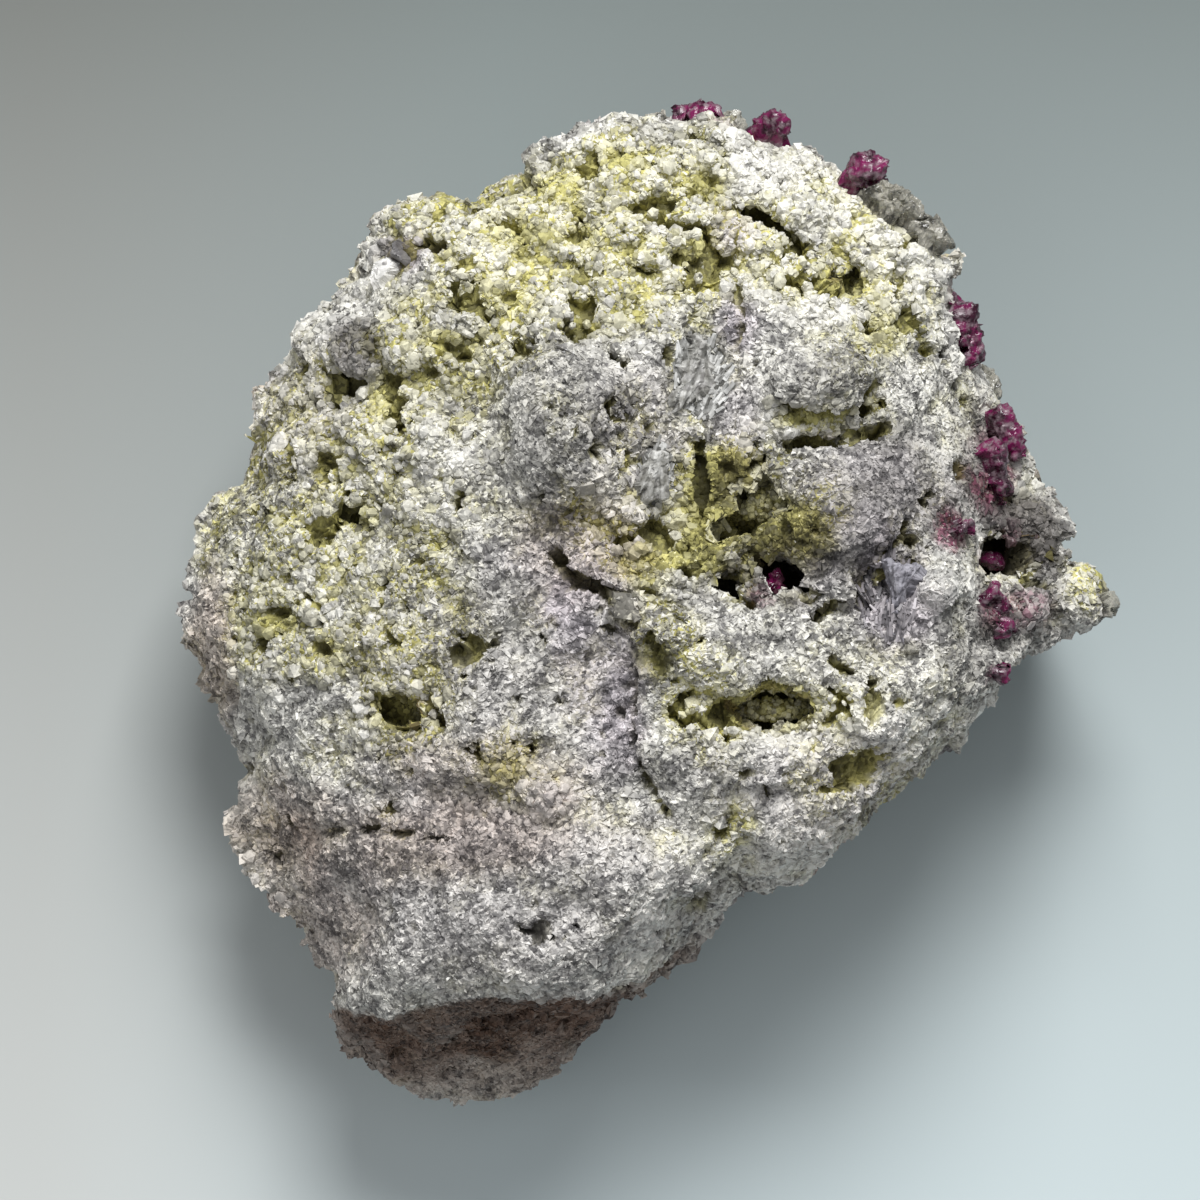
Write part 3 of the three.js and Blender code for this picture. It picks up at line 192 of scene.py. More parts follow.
# Pits in the face: centre, half-sizes, turn and depth in millimetres.
PITS = [
    (352, 385, 17, 7, -5, 3.2), (394, 385, 9, 9, 0, 2.6), (400, 428, 4, 17, 5, 2.6),
    (668, 360, 9, 11, 0, 3.0), (712, 183, 12, 8, -20, 2.8), (621, 158, 9, 8, 0, 2.0),
    (938, 320, 5, 7, 0, 2.6), (862, 603, 9, 12, 0, 3.0), (907, 541, 9, 8, 0, 3.0),
    (909, 570, 4, 15, 5, 2.2), (698, 640, 5, 5, 0, 2.0), (677, 705, 6, 8, 0, 2.0),
    (626, 686, 5, 6, 0, 1.6), (620, 711, 6, 9, 20, 1.6), (633, 738, 4, 9, 0, 2.2),
    (609, 630, 12, 5, -45, 1.8), (665, 811, 7, 7, 0, 2.6), (335, 831, 12, 6, 0, 2.0),
    (372, 827, 14, 5, 5, 2.2), (402, 831, 14, 5, 0, 2.0), (440, 836, 15, 4, -5, 1.6),
    (388, 811, 14, 5, 0, 1.6), (572, 1048, 9, 9, 20, 2.0), (478, 1022, 10, 4, 10, 1.2),
    (880, 405, 6, 5, 0, 1.8), (316, 606, 7, 6, 0, 1.4), (294, 680, 6, 6, 0, 1.4),
    (246, 772, 7, 9, 0, 2.4), (697, 900, 16, 9, 25, 3.0), (575, 240, 12, 8, 20, 1.8),
    (640, 215, 12, 6, 0, 1.6), (540, 190, 10, 8, 0, 1.6), (455, 352, 22, 8, -20, 2.2),
    (430, 375, 12, 9, 0, 1.8), (345, 515, 14, 14, 0, 2.4), (280, 612, 16, 10, 0, 2.2),
    (325, 650, 14, 10, -30, 2.0), (735, 300, 6, 16, 0, 1.8), (676, 265, 10, 8, 30, 2.0),
    (590, 330, 12, 6, 0, 1.4), (510, 300, 12, 7, 0, 1.6), (470, 270, 12, 8, 0, 1.6),
    (745, 770, 12, 5, 10, 1.8), (720, 830, 12, 8, 60, 1.8), (850, 765, 14, 7, 0, 2.0),
    (890, 700, 12, 5, 20, 1.2), (600, 450, 10, 5, 0, 1.4), (650, 590, 12, 5, -20, 1.6),
    (420, 560, 9, 6, 0, 1.2), (460, 480, 8, 6, 0, 1.2), (560, 700, 7, 6, 0, 1.0),
    (690, 570, 18, 6, -10, 2.0), (800, 460, 10, 5, 0, 1.6), (960, 470, 9, 14, 0, 1.8),
    (738, 492, 18, 10, -40, 1.7), (712, 536, 14, 10, -15, 1.9), (786, 528, 14, 10, -20, 1.6),
    (722, 470, 10, 12, 0, 2.2), (788, 505, 9, 12, 30, 2.2), (700, 520, 8, 10, 0, 2.0),
    (823, 291, 14, 8, -40, 2.8), (852, 276, 12, 7, 20, 2.4), (1033, 581, 20, 7, -12, 2.6),
    (385, 700, 10, 8, 0, 2.0), (412, 722, 10, 9, 30, 2.2), (760, 712, 12, 7, 0, 2.4),
    (748, 560, 12, 9, 30, 3.0), (806, 596, 14, 9, -20, 2.6), (1000, 560, 26, 20, 0, 6.0),
    (1024, 562, 20, 22, 0, 6.0), (996, 536, 12, 10, 0, 4.0), (862, 580, 6, 20, -20, 2.4),
]
# Cracks and slots in the face: a line of pixels, half-width and depth in millimetres.
CRACKS = [
    (
        [(555, 553), (566, 572), (578, 583), (597, 588), (606, 592), (618, 604), (633, 624)],
        0.95, 4.6,
    ),
    ([(626, 640), (634, 690), (632, 740), (645, 780), (664, 815)], 0.5, 1.6),
    ([(898, 526), (879, 566), (857, 585), (814, 619)], 0.8, 3.4),
    ([(758, 564), (786, 576), (812, 598)], 1.0, 4.6), ([(720, 590), (748, 602)], 0.7, 3.0),
    ([(786, 448), (820, 441), (852, 436), (882, 429)], 0.95, 4.4),
    ([(698, 446), (700, 480), (699, 513)], 0.75, 4.0),
    ([(736, 210), (760, 222), (782, 236), (800, 251)], 0.8, 3.4),
    ([(735, 228), (740, 300), (737, 360), (731, 430)], 0.4, 1.6),
    ([(704, 330), (698, 372), (690, 420)], 0.5, 1.6),
    ([(776, 404), (806, 412), (850, 406), (878, 386)], 0.7, 1.6),
    ([(690, 570), (720, 578), (748, 574)], 0.6, 2.2),
]
# The crisp ridge above the rock's broken underside: its line, half-width and height.
RIDGE = [
    (330, 1003), (391, 1002), (430, 995), (491, 985), (544, 983), (598, 981), (644, 953),
    (678, 926), (700, 891),
]
RIDGE_HALF = 3.2
RIDGE_HEIGHT = 1.0
# The underside, which gets painted shade and a painted warm reflection over its own grey-brown,
# fades out to the right over these pixels and downwards over these heights.
UNDERSIDE_END = (716, 606)
UNDERSIDE_HEIGHTS = (4, 24)
# Vug crystals line the hollows above these heights, in millimetres.
OLIVE_HEIGHTS = (20, 29)
# How far a surface is turned upwards where the face begins and where it is all face,
# and the same for the colours of the face, which carry on over the rim.
FACE_TURN = (0.15, 0.6)
COLOUR_TURN = (-0.45, 0.2)

# The darkest and the palest blade of each kind.
ALBITE_TONES = ((0.09, 0.088, 0.08), (0.76, 0.76, 0.74))
LAVENDER_TONES = ((0.06, 0.056, 0.062), (0.56, 0.52, 0.54))
# Patches of blades and columns: where they are and the pixel they fan out from, how long
# and thick they are in millimetres, how many there are, and their tone and slot.
FIBRE_PATCHES = {
    "albite_fibres": {
        "place": (700, 380, 24, 38, 10), "root": (672, 450), "long": 1.1, "thick": (0.35, 0.75),
        "count": 330, "tone": 0.4, "tones": ALBITE_TONES, "slot": "albite",
    },
    "albite_fibres_lower": {
        "place": (656, 476, 14, 26, 0), "root": (650, 520), "long": 1.1, "thick": (0.35, 0.7),
        "count": 120, "tone": 0.22, "tones": ALBITE_TONES, "slot": "albite",
    },
    "lavender_rods": {
        "place": (884, 600, 26, 40, 0), "root": (884, 700), "long": 1.4, "thick": (0.3, 0.6),
        "count": 300, "tone": 0.45, "tones": LAVENDER_TONES, "slot": "lavender_lepidolite",
    },
}

# The rock's relief, in millimetres: spacing and height of its knobs and grains.
COARSE_RELIEF = [(9.0, 1.6), (4.2, 0.9), (2.0, 0.45)]
FINE_RELIEF = [(12.0, 1.3), (4.0, 0.6), (1.9, 0.3)]
WALL_RELIEF = [(14.0, 1.6), (5.0, 0.8), (2.2, 0.4)]
# Broken flats: spacing, height of the steps between them, and their tilt. The last two
# are the chips of the crystals.
COARSE_FLATS = [(5.5, 1.5, 1.1), (2.6, 0.7, 1.2)]
FINE_FLATS = [(7.0, 0.7, 0.8), (2.4, 0.4, 1.2)]
WALL_FLATS = [(11.0, 2.4, 1.2), (4.4, 1.2, 1.3), (2.0, 0.35, 1.2)]
RUBELLITE_CHIPS = [(2.3, 0.8, 1.6), (0.9, 0.26, 1.5)]
QUARTZ_CHIPS = [(2.4, 0.8, 1.6), (0.9, 0.25, 1.5)]
# Depth and spacing of the furrows along a rubellite, and the height of the small
# blocks on the other minerals with their spacing.
FURROWS = (0.22, 1.0)
BLOCKS = (0.3, 0.9)
# Mesh size of the dressed crystals, in metres.
RUBELLITE_VOXEL = 0.00028
QUARTZ_VOXEL = 0.0003
MINERAL_VOXEL = 0.00026
# The dark vug at the right edge stays open although crystals stand beside it.
OPEN_VUG = (1010, 560, 30, 25, 0)
# Ragged cavities: size, depth, and the noise level that opens one where the rock is
# sound and where it is fully stained.
CAVITY_SIZE = 4.6
CAVITY_DEPTH = 2.6
CAVITY_LEVELS = (0.5, 0.17)
# Scattered pores: spacing, share of the places that hold one, and depth.
PORE_SPACING = 2.1
PORE_SHARE = 0.5
PORE_DEPTH = 1.1
# How far each corner of the rock's mesh is moved at random, so that it looks sugary.
SUGAR = 0.17
# The relief dies away over this height above the flat back, in millimetres.
FOOT_HEIGHT = 2.5
# A crystal's side this near the rock is drawn into it, as deep as this at the rock.
ROOT_REACH = 1.3
ROOT_DEPTH = 0.9
# Grains and crystals stay above the flat back by this much, in millimetres.
LOWEST_GRAIN = 0.02
LOWEST_CRYSTAL = 0.05
# No side of the rock holds more grains in a row than this.
MOST_CELLS = 4096
# A quartz grain this long is chipped in full; a smaller one less.
WHOLE_CHIPS = 7.0
# How near a crystal the rock's knobs die away, in millimetres.
CALM_REACH = 2.4
# Cracks narrower than this, in half-width, come and go along their line.
THIN_CRACK = 0.65
# What is known about the rock at each corner of its mesh, for the grains on it.
FIELDS = (
    "hollow", "stain", "violet", "brown", "white", "dusk", "coarse", "kind", "face", "mottle",
    "holes", "smooth", "olive", "pink", "bright",
)
# The other minerals by the start of their node's name: the material's name, its two tones,
# the scale of its layers and its roughness.
PLAIN_FINISHES = {
    "mica_plate_bright": ("bright mica", (0.98, 0.96, 0.92), (0.72, 0.71, 0.68), 1500.0, 0.2),
    "mica_plate_dark": ("dark mica", (0.1, 0.094, 0.096), (0.2, 0.19, 0.185), 1500.0, 0.3),
    "lavender": ("lavender columns", (0.16, 0.155, 0.18), (0.36, 0.35, 0.385), 1800.0, 0.5),
    "albite": ("albite", (0.56, 0.555, 0.53), (0.2, 0.195, 0.175), 1600.0, 0.5),
    "crust_central": ("yellow crust", (0.2, 0.17, 0.05), (0.4, 0.36, 0.16), 1600.0, 0.5),
}
SMALL_SLOTS = {
    "mica_plate": "mica", "lavender": "lavender_lepidolite", "albite": "albite",
    "crust": "yellow_crust",
}
# Share of light that enters the rubellite crusts in the vugs.
VUG_CLEARNESS = 0.1
# How far the fine bumps of each material stand out, in metres, and how strongly.
STONE_BUMP = 0.00015
CRYSTAL_BUMP = 0.0002
MINERAL_BUMP = 0.0001
BUMP_STRENGTH = 0.6
# How strongly stone and crystal mirror the light.
SHEEN = 0.3
# The looks of the clear quartz, which differ from the rubellite's.
QUARTZ_LOOK = {
    "colour": (0.62, 0.6, 0.52), "depth_colour": (0.8, 0.78, 0.7), "clearness": 0.6,
    "ior": 1.54, "density": 90.0,
}
# The lights: place, size and the setting that holds the power of each.
LIGHTS = {
    "main light": ((0.1, 0.68, 0.68), 0.45, "key_power"),
    "fill light": ((-0.6, -0.3, 0.9), 0.8, "fill_power"),
}
LIT_POINT = (0, 0, 0.02)
SKY_COLOUR = (0.95, 0.97, 1.0, 1)
FLOOR_SIDE = 24
# Each noise below takes a whole number as its seed, and comes out the same every time.


def spot(px, py):
    """Where a pixel of the photograph lies on the face, in millimetres."""
    x = (px - OUTLINE_MIDDLE[0]) / PIXELS_PER_MM + OUTLINE_SHIFT[0]
    y = (OUTLINE_MIDDLE[1] - py) / PIXELS_PER_MM + OUTLINE_SHIFT[1]
    return np.array([x, y])


def smoothstep(low, high, value):
    """0 up to low, 1 from high on, and an even curve between them."""
    share = np.clip((value - low) / (high - low), 0, 1)
    return share * share * (3 - 2 * share)


def hashed(cells, seed):
    """A repeatable number from 0 to 1 for each whole-number cell."""
    whole = cells.astype(np.int64)
    mixed = whole[..., 0] * 374761393 + whole[..., 1] * 668265263
    mixed = (mixed + whole[..., 2] * 1274126177 + seed * 974634777) & 0xFFFFFFFF
    mixed = ((mixed ^ (mixed >> 13)) * 1103515245) & 0xFFFFFFFF
    mixed = ((mixed ^ (mixed >> 16)) * 668265263) & 0xFFFFFFFF
    return ((mixed ^ (mixed >> 15)) & 0xFFFFFF) / 0xFFFFFF


def swell(points, size, seed):
    """Smooth noise from -1 to 1 whose lumps are about size across."""
    scaled = points / size
    cell = np.floor(scaled)
    share = scaled - cell
    ease = share * share * (3 - 2 * share)
    total = np.zeros(len(points))
    for corner in itertools.product((0, 1), repeat=3):
        weight = np.prod(np.where(np.array(corner), ease, 1 - ease), axis=1)
        total += weight * hashed(cell + corner, seed)
    return 2 * total - 1


def rough(points, size, seed, octaves=3):
    """Noise with finer lumps on the lumps."""
    total = np.zeros(len(points))
    for octave in range(octaves):
        total += swell(points, size / 2**octave, seed + octave) / 2**octave
    return total / 1.6


def pebbles(points, size, seed):
    """Distance to the nearest of scattered seeds, in spacings, and its own number."""
    scaled = points / size
    cell = np.floor(scaled)
    nearest = np.full(len(points), 9.0)
    number = np.zeros(len(points))
    for step in itertools.product((-1, 0, 1), repeat=3):
        here = cell + step
        centre = here + np.stack([hashed(here, seed + axis) for axis in range(3)], axis=1)
        distance = np.linalg.norm(scaled - centre, axis=1)
        closer = distance < nearest
        number = np.where(closer, hashed(here, seed + 7), number)
        nearest = np.minimum(nearest, distance)
    return nearest, number


def warped(points, size, seed):
    """Points pushed about at random, so that borders between cells are ragged."""
    return points + size * np.stack([swell(points, size, seed + axis) for axis in range(3)], axis=1)


def flats(points, size, tilt, seed):
    """Broken faces: cells with a level of their own from -0.5 to 0.5, and a tilt."""
    scaled = warped(points, 0.22 * size, seed) / size
    cell = np.floor(scaled)
    nearest = np.full(len(points), 9.0)
    level = np.zeros(len(points))
    for step in itertools.product((-1, 0, 1), repeat=3):
        here = cell + step
        away = scaled - here - np.stack([hashed(here, seed + axis) for axis in range(3)], axis=1)
        lean = np.stack([hashed(here, seed + 10 + axis) for axis in range(3)], axis=1) - 0.5
        distance = np.linalg.norm(away, axis=1)
        own = hashed(here, seed + 7) - 0.5 + tilt * np.einsum("ij,ij->i", away, lean)
        level = np.where(distance < nearest, own, level)
        nearest = np.minimum(nearest, distance)
    return level


def patches(points, size, seed):
    """Ragged patches, each with its own number from 0 to 1."""
    return flats(points, size, 0, seed) + 0.5


def ellipse(points, place):
    """How far out each point is in an ellipse of the face: 0 its middle, 1 its edge."""
    px, py, half_x, half_y, turn = place[:5]
    away = points[:, :2] - spot(px, py)
    angle = math.radians(turn)
    along = away[:, 0] * math.cos(angle) + away[:, 1] * math.sin(angle)
    across = away[:, 1] * math.cos(angle) - away[:, 0] * math.sin(angle)
    return np.hypot(along / (half_x / PIXELS_PER_MM), across / (half_y / PIXELS_PER_MM))


def zone(points, places, seed, ragged=0.35):
    """How strongly each point lies in some places of the face, with ragged edges."""
    total = np.zeros(len(points))
    edge = ragged * rough(points, 6.0, seed)
    for place in places:
        total += place[5] * (1 - smoothstep(0.45, 1.35, ellipse(points, place) + edge))
    return np.clip(total, 0, 1)


def scattered_pits(points, chance, seed=51):
    """Depth of round ragged holes, each there by chance."""
    nearest, number = pebbles(points, PORE_SPACING, seed)
    ragged = nearest + 0.14 * rough(points, 1.6, seed + 6)
    hole = np.clip(1 - (ragged / 0.34) ** 2, 0, 1)
    return PORE_DEPTH * hole**0.7 * (number < PORE_SHARE * chance)


def cavities(points, share):
    """Ragged cavities of the crumbly rock: 1 deep inside one, 0 outside."""
    lumpy = rough(warped(points, 1.2, 71), CAVITY_SIZE, 75)
    level = CAVITY_LEVELS[0] + (CAVITY_LEVELS[1] - CAVITY_LEVELS[0]) * share
    return smoothstep(level, level + 0.16, lumpy)


def pit_depth(points, stain):
    """Depth of the pits at each point of the face, in millimetres."""
    depth = np.zeros(len(points))
    edge = 0.35 * rough(points, 2.2, 31)
    for place in PITS:
        share = np.clip(1 - (ellipse(points, place) + edge) ** 2, 0, 1)
        depth = np.maximum(depth, place[5] * share**0.7)
    depth = np.maximum(depth, CAVITY_DEPTH * cavities(points, stain))
    return np.maximum(depth, scattered_pits(points, 0.12 + 0.88 * stain))


def line_distance(points, line):
    """How far each point lies from a broken line of pixels, in millimetres."""
    corners = [spot(*corner) for corner in line]
    best = np.full(len(points), 1e3)
    for start, end in zip(corners, corners[1:]):
        way = end - start
        share = np.clip((points[:, :2] - start) @ way / (way @ way), 0, 1)
        away = points[:, :2] - start - share[:, None] * way
        best = np.minimum(best, np.linalg.norm(away, axis=1))
    return best


def crack_depth(points):
    """Depth of the cracks and slots at each point of the face, in millimetres."""
    depth = np.zeros(len(points))
    edge = 0.35 * rough(points, 2.0, 37)
    gaps = smoothstep(-0.25, 0.15, rough(points, 3.0, 39))
    for line, half, deep in CRACKS:
        share = np.clip(1.15 - (line_distance(points, line) / half + edge) ** 2, 0, 1) ** 0.6
        depth = np.maximum(depth, deep * share * (gaps if half < THIN_CRACK else 1))
    return depth


def plateaus(points):
    """Height of the raised forms at each point, flat on top and steep at the sides."""
    height = np.zeros(len(points))
    edge = 0.35 * rough(points, 4.0, 61)
    for place in LUMP_PLACES:
        share = 1 - smoothstep(0.72, 1.12, ellipse(points, place) + edge)
        height = np.maximum(height, place[5] * share)
    return height


def ridge_crest(points):
    """Height of the sharp crest along the ridge."""
    return RIDGE_HEIGHT * np.clip(1 - line_distance(points, RIDGE) / RIDGE_HALF, 0, 1)


def underside(points):
    """1 on the broken facet below the ridge, 0 above it."""
    px = (points[:, 0] - OUTLINE_SHIFT[0]) * PIXELS_PER_MM + OUTLINE_MIDDLE[0]
    py = OUTLINE_MIDDLE[1] - (points[:, 1] - OUTLINE_SHIFT[1]) * PIXELS_PER_MM
    line = np.interp(px, *zip(*RIDGE))
    below = (py - line) / PIXELS_PER_MM + 0.25 * rough(points, 2.0, 63)
    end = smoothstep(*UNDERSIDE_END, px + 45 * rough(points, 8.0, 64))
    low = smoothstep(*UNDERSIDE_HEIGHTS, points[:, 2] + 7 * rough(points, 9.0, 65))
    return smoothstep(0.1, 1.0, below) * end * low


def rock_fields(points, normals):
    """What the rock is like at each point, as shares from 0 to 1, with painted shade and a painted
    warm reflection on the underside and painted light and shade in the pale and dull places.
    """
    face = smoothstep(*FACE_TURN, normals[:, 2])
    wall = 1 - face
    top = smoothstep(*COLOUR_TURN, normals[:, 2])
    low = 1 - top
    kind = patches(points, 7.5, 21)
    patchy = smoothstep(-0.1, 0.7, rough(points, 7.0, 13))
    coarse = face * zone(points, COARSE_PLACES, 11) + wall * smoothstep(0.35, 0.8, kind)
    under = underside(points)
    smooth = np.maximum(face, under) * zone(points, SMOOTH_PLACES, 20)
    smooth = smooth + wall * smoothstep(0.5, 0.2, kind)
    stain = top * zone(points, STAIN_PLACES, 12, 0.6)
    faint = (0.2 + 0.26 * low) * smoothstep(-0.2, 0.5, rough(points, 5.0, 14))
    stain = stain + faint * (1 - 0.6 * smooth)
    blotch = 0.6 * patches(points, 2.6, 24) + 0.7 * rough(warped(points, 1.2, 27), 4.0, 29) + 0.2
    stain = stain * (0.25 + 1.15 * smoothstep(0.1, 0.75, blotch))
    olive = smoothstep(*OLIVE_HEIGHTS, points[:, 2]) * zone(points, OLIVE_PLACES, 22, 0.7)
    stain = np.maximum(stain, 0.9 * olive)
    pink = face * zone(points, PINK_PLACES, 23, 0.8)
    violet = top * zone(points, VIOLET_PLACES, 15, 0.5) + low * (0.2 + 0.6 * patchy)
    brown = top * zone(points, BROWN_PLACES, 16)
    brown = brown + low * smoothstep(0.1, -0.6, rough(points, 12.0, 17)) * 0.6
    # Painted warm reflection and painted shade on the underside, over its own grey-brown.
    brown = np.maximum(brown, under * (0.7 + 0.28 * patchy))
    white = face * zone(points, WHITE_PLACES, 18, 0.5) + wall * smoothstep(0.9, 0.96, kind) * 0.35
    # Dark grey rock, and painted shade in the deep pockets and vugs.
    dusk = face * zone(points, DARK_AND_SHADED_PLACES, 19, 0.4) + low * (kind < 0.12) * 0.6
    # Painted shade on the underside.
    dusk = np.maximum(dusk, under * (0.7 + 0.24 * patchy))
    fields = {
        "face": face, "kind": kind, "coarse": coarse, "smooth": smooth, "stain": stain,
        "violet": violet, "brown": brown, "white": white, "dusk": dusk, "olive": olive,
        "pink": pink,
    }
    fields = {key: np.clip(values, 0, 1) for key, values in fields.items()}
    # Painted light and painted shade on the lit and shaded sides of forms, mixed with paler and
    # duller rock.
    paler = zone(points, PALE_AND_LIT_PLACES, 25, 0.5) - zone(points, DULL_AND_SHADED_PLACES, 26, 0.5)
    fields["bright"] = face * paler
    return fields


def relief(points, layers, seed):
    """Knobs and grains of several sizes, in millimetres above the smooth surface."""
    height = np.zeros(len(points))
    for index, (spacing, size) in enumerate(layers):
        nearest, number = pebbles(points, spacing, seed + 20 * index)
        height += size * (0.55 - nearest + 0.3 * (number - 0.5))
    return height


def broken(points, layers, seed, step=40):
    """Steps and tilted flats of several sizes, in millimetres."""
    height = np.zeros(len(points))
    for index, (spacing, size, tilt) in enumerate(layers):
        height += size * flats(points, spacing, tilt, seed + step * index)
    return height


def mottle(points):
    """Paler and darker patches of the rock, from -1 to 1."""
    patch = 0.6 * patches(points, 3.4, 151) + 0.5 * patches(points, 1.5, 161) - 0.55
    cloud = 0.9 * rough(warped(points, 1.5, 191), 5.0, 181) + 0.7 * rough(points, 1.8, 171)
    return np.clip(patch + cloud, -1, 1)


def linked(name, data):
    """A new object in the scene around a mesh, camera or light."""
    obj = bpy.data.objects.new(name, data)
    bpy.context.scene.collection.objects.link(obj)
    return obj


def points_of(obj):
    """A mesh's corners and their normals, in millimetres."""
    count = len(obj.data.vertices)
    places = np.zeros(count * 3, np.float32)
    facing = np.zeros(count * 3, np.float32)
    obj.data.vertices.foreach_get("co", places)
    obj.data.vertex_normals.foreach_get("vector", facing)
    return places.reshape(-1, 3).astype(float) / MM, facing.reshape(-1, 3).astype(float)


def move_points(obj, places):
    obj.data.vertices.foreach_set("co", (places * MM).astype(np.float32).ravel())
    obj.data.update()


def set_attribute(obj, name, values):
    layer = obj.data.attributes.new(name, "FLOAT", "POINT")
    layer.data.foreach_set("value", values.astype(np.float32))


def get_attribute(obj, name):
    values = np.zeros(len(obj.data.vertices), np.float32)
    obj.data.attributes[name].data.foreach_get("value", values)
    return values.astype(float)


def solid_copy(node, name, voxel):
    """A new object with a node's shape, its corners joined and evenly remeshed."""
    mesh = frame["nodes"][node].data.copy()
    mesh.materials.clear()
    shape = bmesh.new()
    shape.from_mesh(mesh)
    bmesh.ops.remove_doubles(shape, verts=shape.verts, dist=1e-6)
    shape.to_mesh(mesh)
    shape.free()
    obj = linked(name, mesh)
    bpy.ops.object.select_all(action="DESELECT")
    obj.select_set(True)
    bpy.context.view_layer.objects.active = obj
    modifier = obj.modifiers.new("Remesh", "REMESH")
    modifier.mode = "VOXEL"
    modifier.voxel_size = voxel
    modifier.adaptivity = 0
    bpy.ops.object.modifier_apply(modifier=modifier.name)
    while obj.data.attributes.get("material_index"):
        obj.data.attributes.remove(obj.data.attributes["material_index"])
    return obj


def tree_of(obj):
    """A search tree of an object's surface, in millimetres."""
    places, _ = points_of(obj)
    faces = [tuple(polygon.vertices) for polygon in obj.data.polygons]
    return BVHTree.FromPolygons([tuple(place) for place in places], faces)


def hand_over(obj, material, slot, *nodes):
    """Gives a finished piece its material, its body and the nodes it stands for."""
    obj.data.materials.clear()
    obj.data.materials.append(material)
    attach(obj, BODY)
    if nodes:
        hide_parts(*nodes)
    return obj


def neighbour_mean(obj, values, rounds):
    """Values averaged over each corner's neighbours, again and again."""
    ends = np.zeros(len(obj.data.edges) * 2, np.int32)
    obj.data.edges.foreach_get("vertices", ends)
    first, second = ends.reshape(-1, 2).T
    count = len(values)
    share = np.bincount(first, minlength=count) + np.bincount(second, minlength=count)
    share = np.maximum(share, 1)
    for _ in range(rounds):
        total = np.zeros_like(values)
        for axis in range(values.shape[1]):
            total[:, axis] = np.bincount(first, values[second, axis], count)
            total[:, axis] += np.bincount(second, values[first, axis], count)
        values = total / share[:, None]
    return values


def hollowness(obj, rounds=14):
    """How deep each corner lies in a hollow, in millimetres, below 0 on a knob."""
    places, normals = points_of(obj)
    around = neighbour_mean(obj, places, rounds)
    return np.einsum("ij,ij->i", around - places, normals)


def primitive(add, **settings):
    """A primitive at the origin, which is then the only thing selected."""
    bpy.ops.object.select_all(action="DESELECT")
    add(location=(0, 0, 0), **settings)
    return bpy.context.object


def shape_of(obj):
    """Corners and faces of a small shape as arrays, and the shape is removed."""
    corners = np.array([tuple(vertex.co) for vertex in obj.data.vertices])
    faces = [tuple(polygon.vertices) for polygon in obj.data.polygons]
    bpy.data.objects.remove(obj)
    return corners, faces


def crumb_shape():
    """A blocky rounded grain with twenty faces, one across."""
    return shape_of(primitive(bpy.ops.mesh.primitive_ico_sphere_add, subdivisions=1, radius=0.5))


def chip_shape():
    """A flat three-cornered chip, a little over one across."""
    add = bpy.ops.mesh.primitive_cylinder_add
    return shape_of(primitive(add, vertices=3, radius=0.7, depth=0.8))


def flake_shape():
    """A thin six-sided mica flake, one across."""
    add = bpy.ops.mesh.primitive_cylinder_add
    return shape_of(primitive(add, vertices=6, radius=0.5, depth=0.16))


def splinter_shape():
    """A long blade that narrows to one end, one long."""
    obj = primitive(bpy.ops.mesh.primitive_cube_add, size=1)
    for vertex in obj.data.vertices:
        if vertex.co.x > 0:
            vertex.co.y *= 0.55
            vertex.co.z *= 0.55
    return shape_of(obj)


def triangles_of(obj):
    obj.data.calc_loop_triangles()
    corners = np.zeros(len(obj.data.loop_triangles) * 3, np.int32)
    obj.data.loop_triangles.foreach_get("vertices", corners)
    return corners.reshape(-1, 3)


def seeds_on(obj, spacing, seed, names=(), crowding=3.0):
    """Places spread over a piece about spacing apart, their normals and named values."""
    rng = np.random.default_rng(seed)
    places, normals = points_of(obj)
    corners = triangles_of(obj)
    a, b, c = (places[corners[:, i]] for i in range(3))
    area = np.linalg.norm(np.cross(b - a, c - a), axis=1) / 2
    count = int(crowding * area.sum() / spacing**2)
    chosen = rng.choice(len(area), count, p=area / area.sum())
    share = rng.random((count, 2))
    share = np.where(share.sum(axis=1)[:, None] > 1, 1 - share, share)
    weights = np.column_stack([1 - share.sum(axis=1), share])
    picked = corners[chosen]
    at = np.einsum("ni,nij->nj", weights, places[picked])
    cells = np.floor(at / spacing).astype(np.int64)
    code = (cells[:, 0] * MOST_CELLS + cells[:, 1]) * MOST_CELLS + cells[:, 2]
    _, first = np.unique(code, return_index=True)
    first = rng.permutation(first)
    picked, weights = picked[first], weights[first]
    facing = np.einsum("ni,nij->nj", weights, normals[picked])
    facing /= np.linalg.norm(facing, axis=1)[:, None]
    values = {
        name: np.einsum("ni,ni->n", weights, get_attribute(obj, name)[picked]) for name in names
    }
    return at[first], facing, values


def clear_of_crystals(places, trees, gap):
    """Which places are outside the crystals and at least gap away from them."""
    free = np.ones(len(places), bool)
    for tree, low, high in trees:
        near = np.all((places > low - gap) & (places < high + gap), axis=1)
        for index in np.flatnonzero(near & free):
            spot_on, facing, _, distance = tree.find_nearest(Vector(places[index]))
            inside = (Vector(places[index]) - spot_on).dot(facing) < 0
            free[index] = not inside and distance > gap
    return free


def grain_frames(normals, tilt, rng):
    """A turned frame for each grain: its third axis leans from the normal."""
    upward = normals + tilt * rng.normal(size=normals.shape)
    upward /= np.linalg.norm(upward, axis=1)[:, None]
    aside = np.cross(upward, rng.normal(size=normals.shape))
    aside /= np.linalg.norm(aside, axis=1)[:, None]
    return np.stack([aside, np.cross(upward, aside), upward], axis=2)


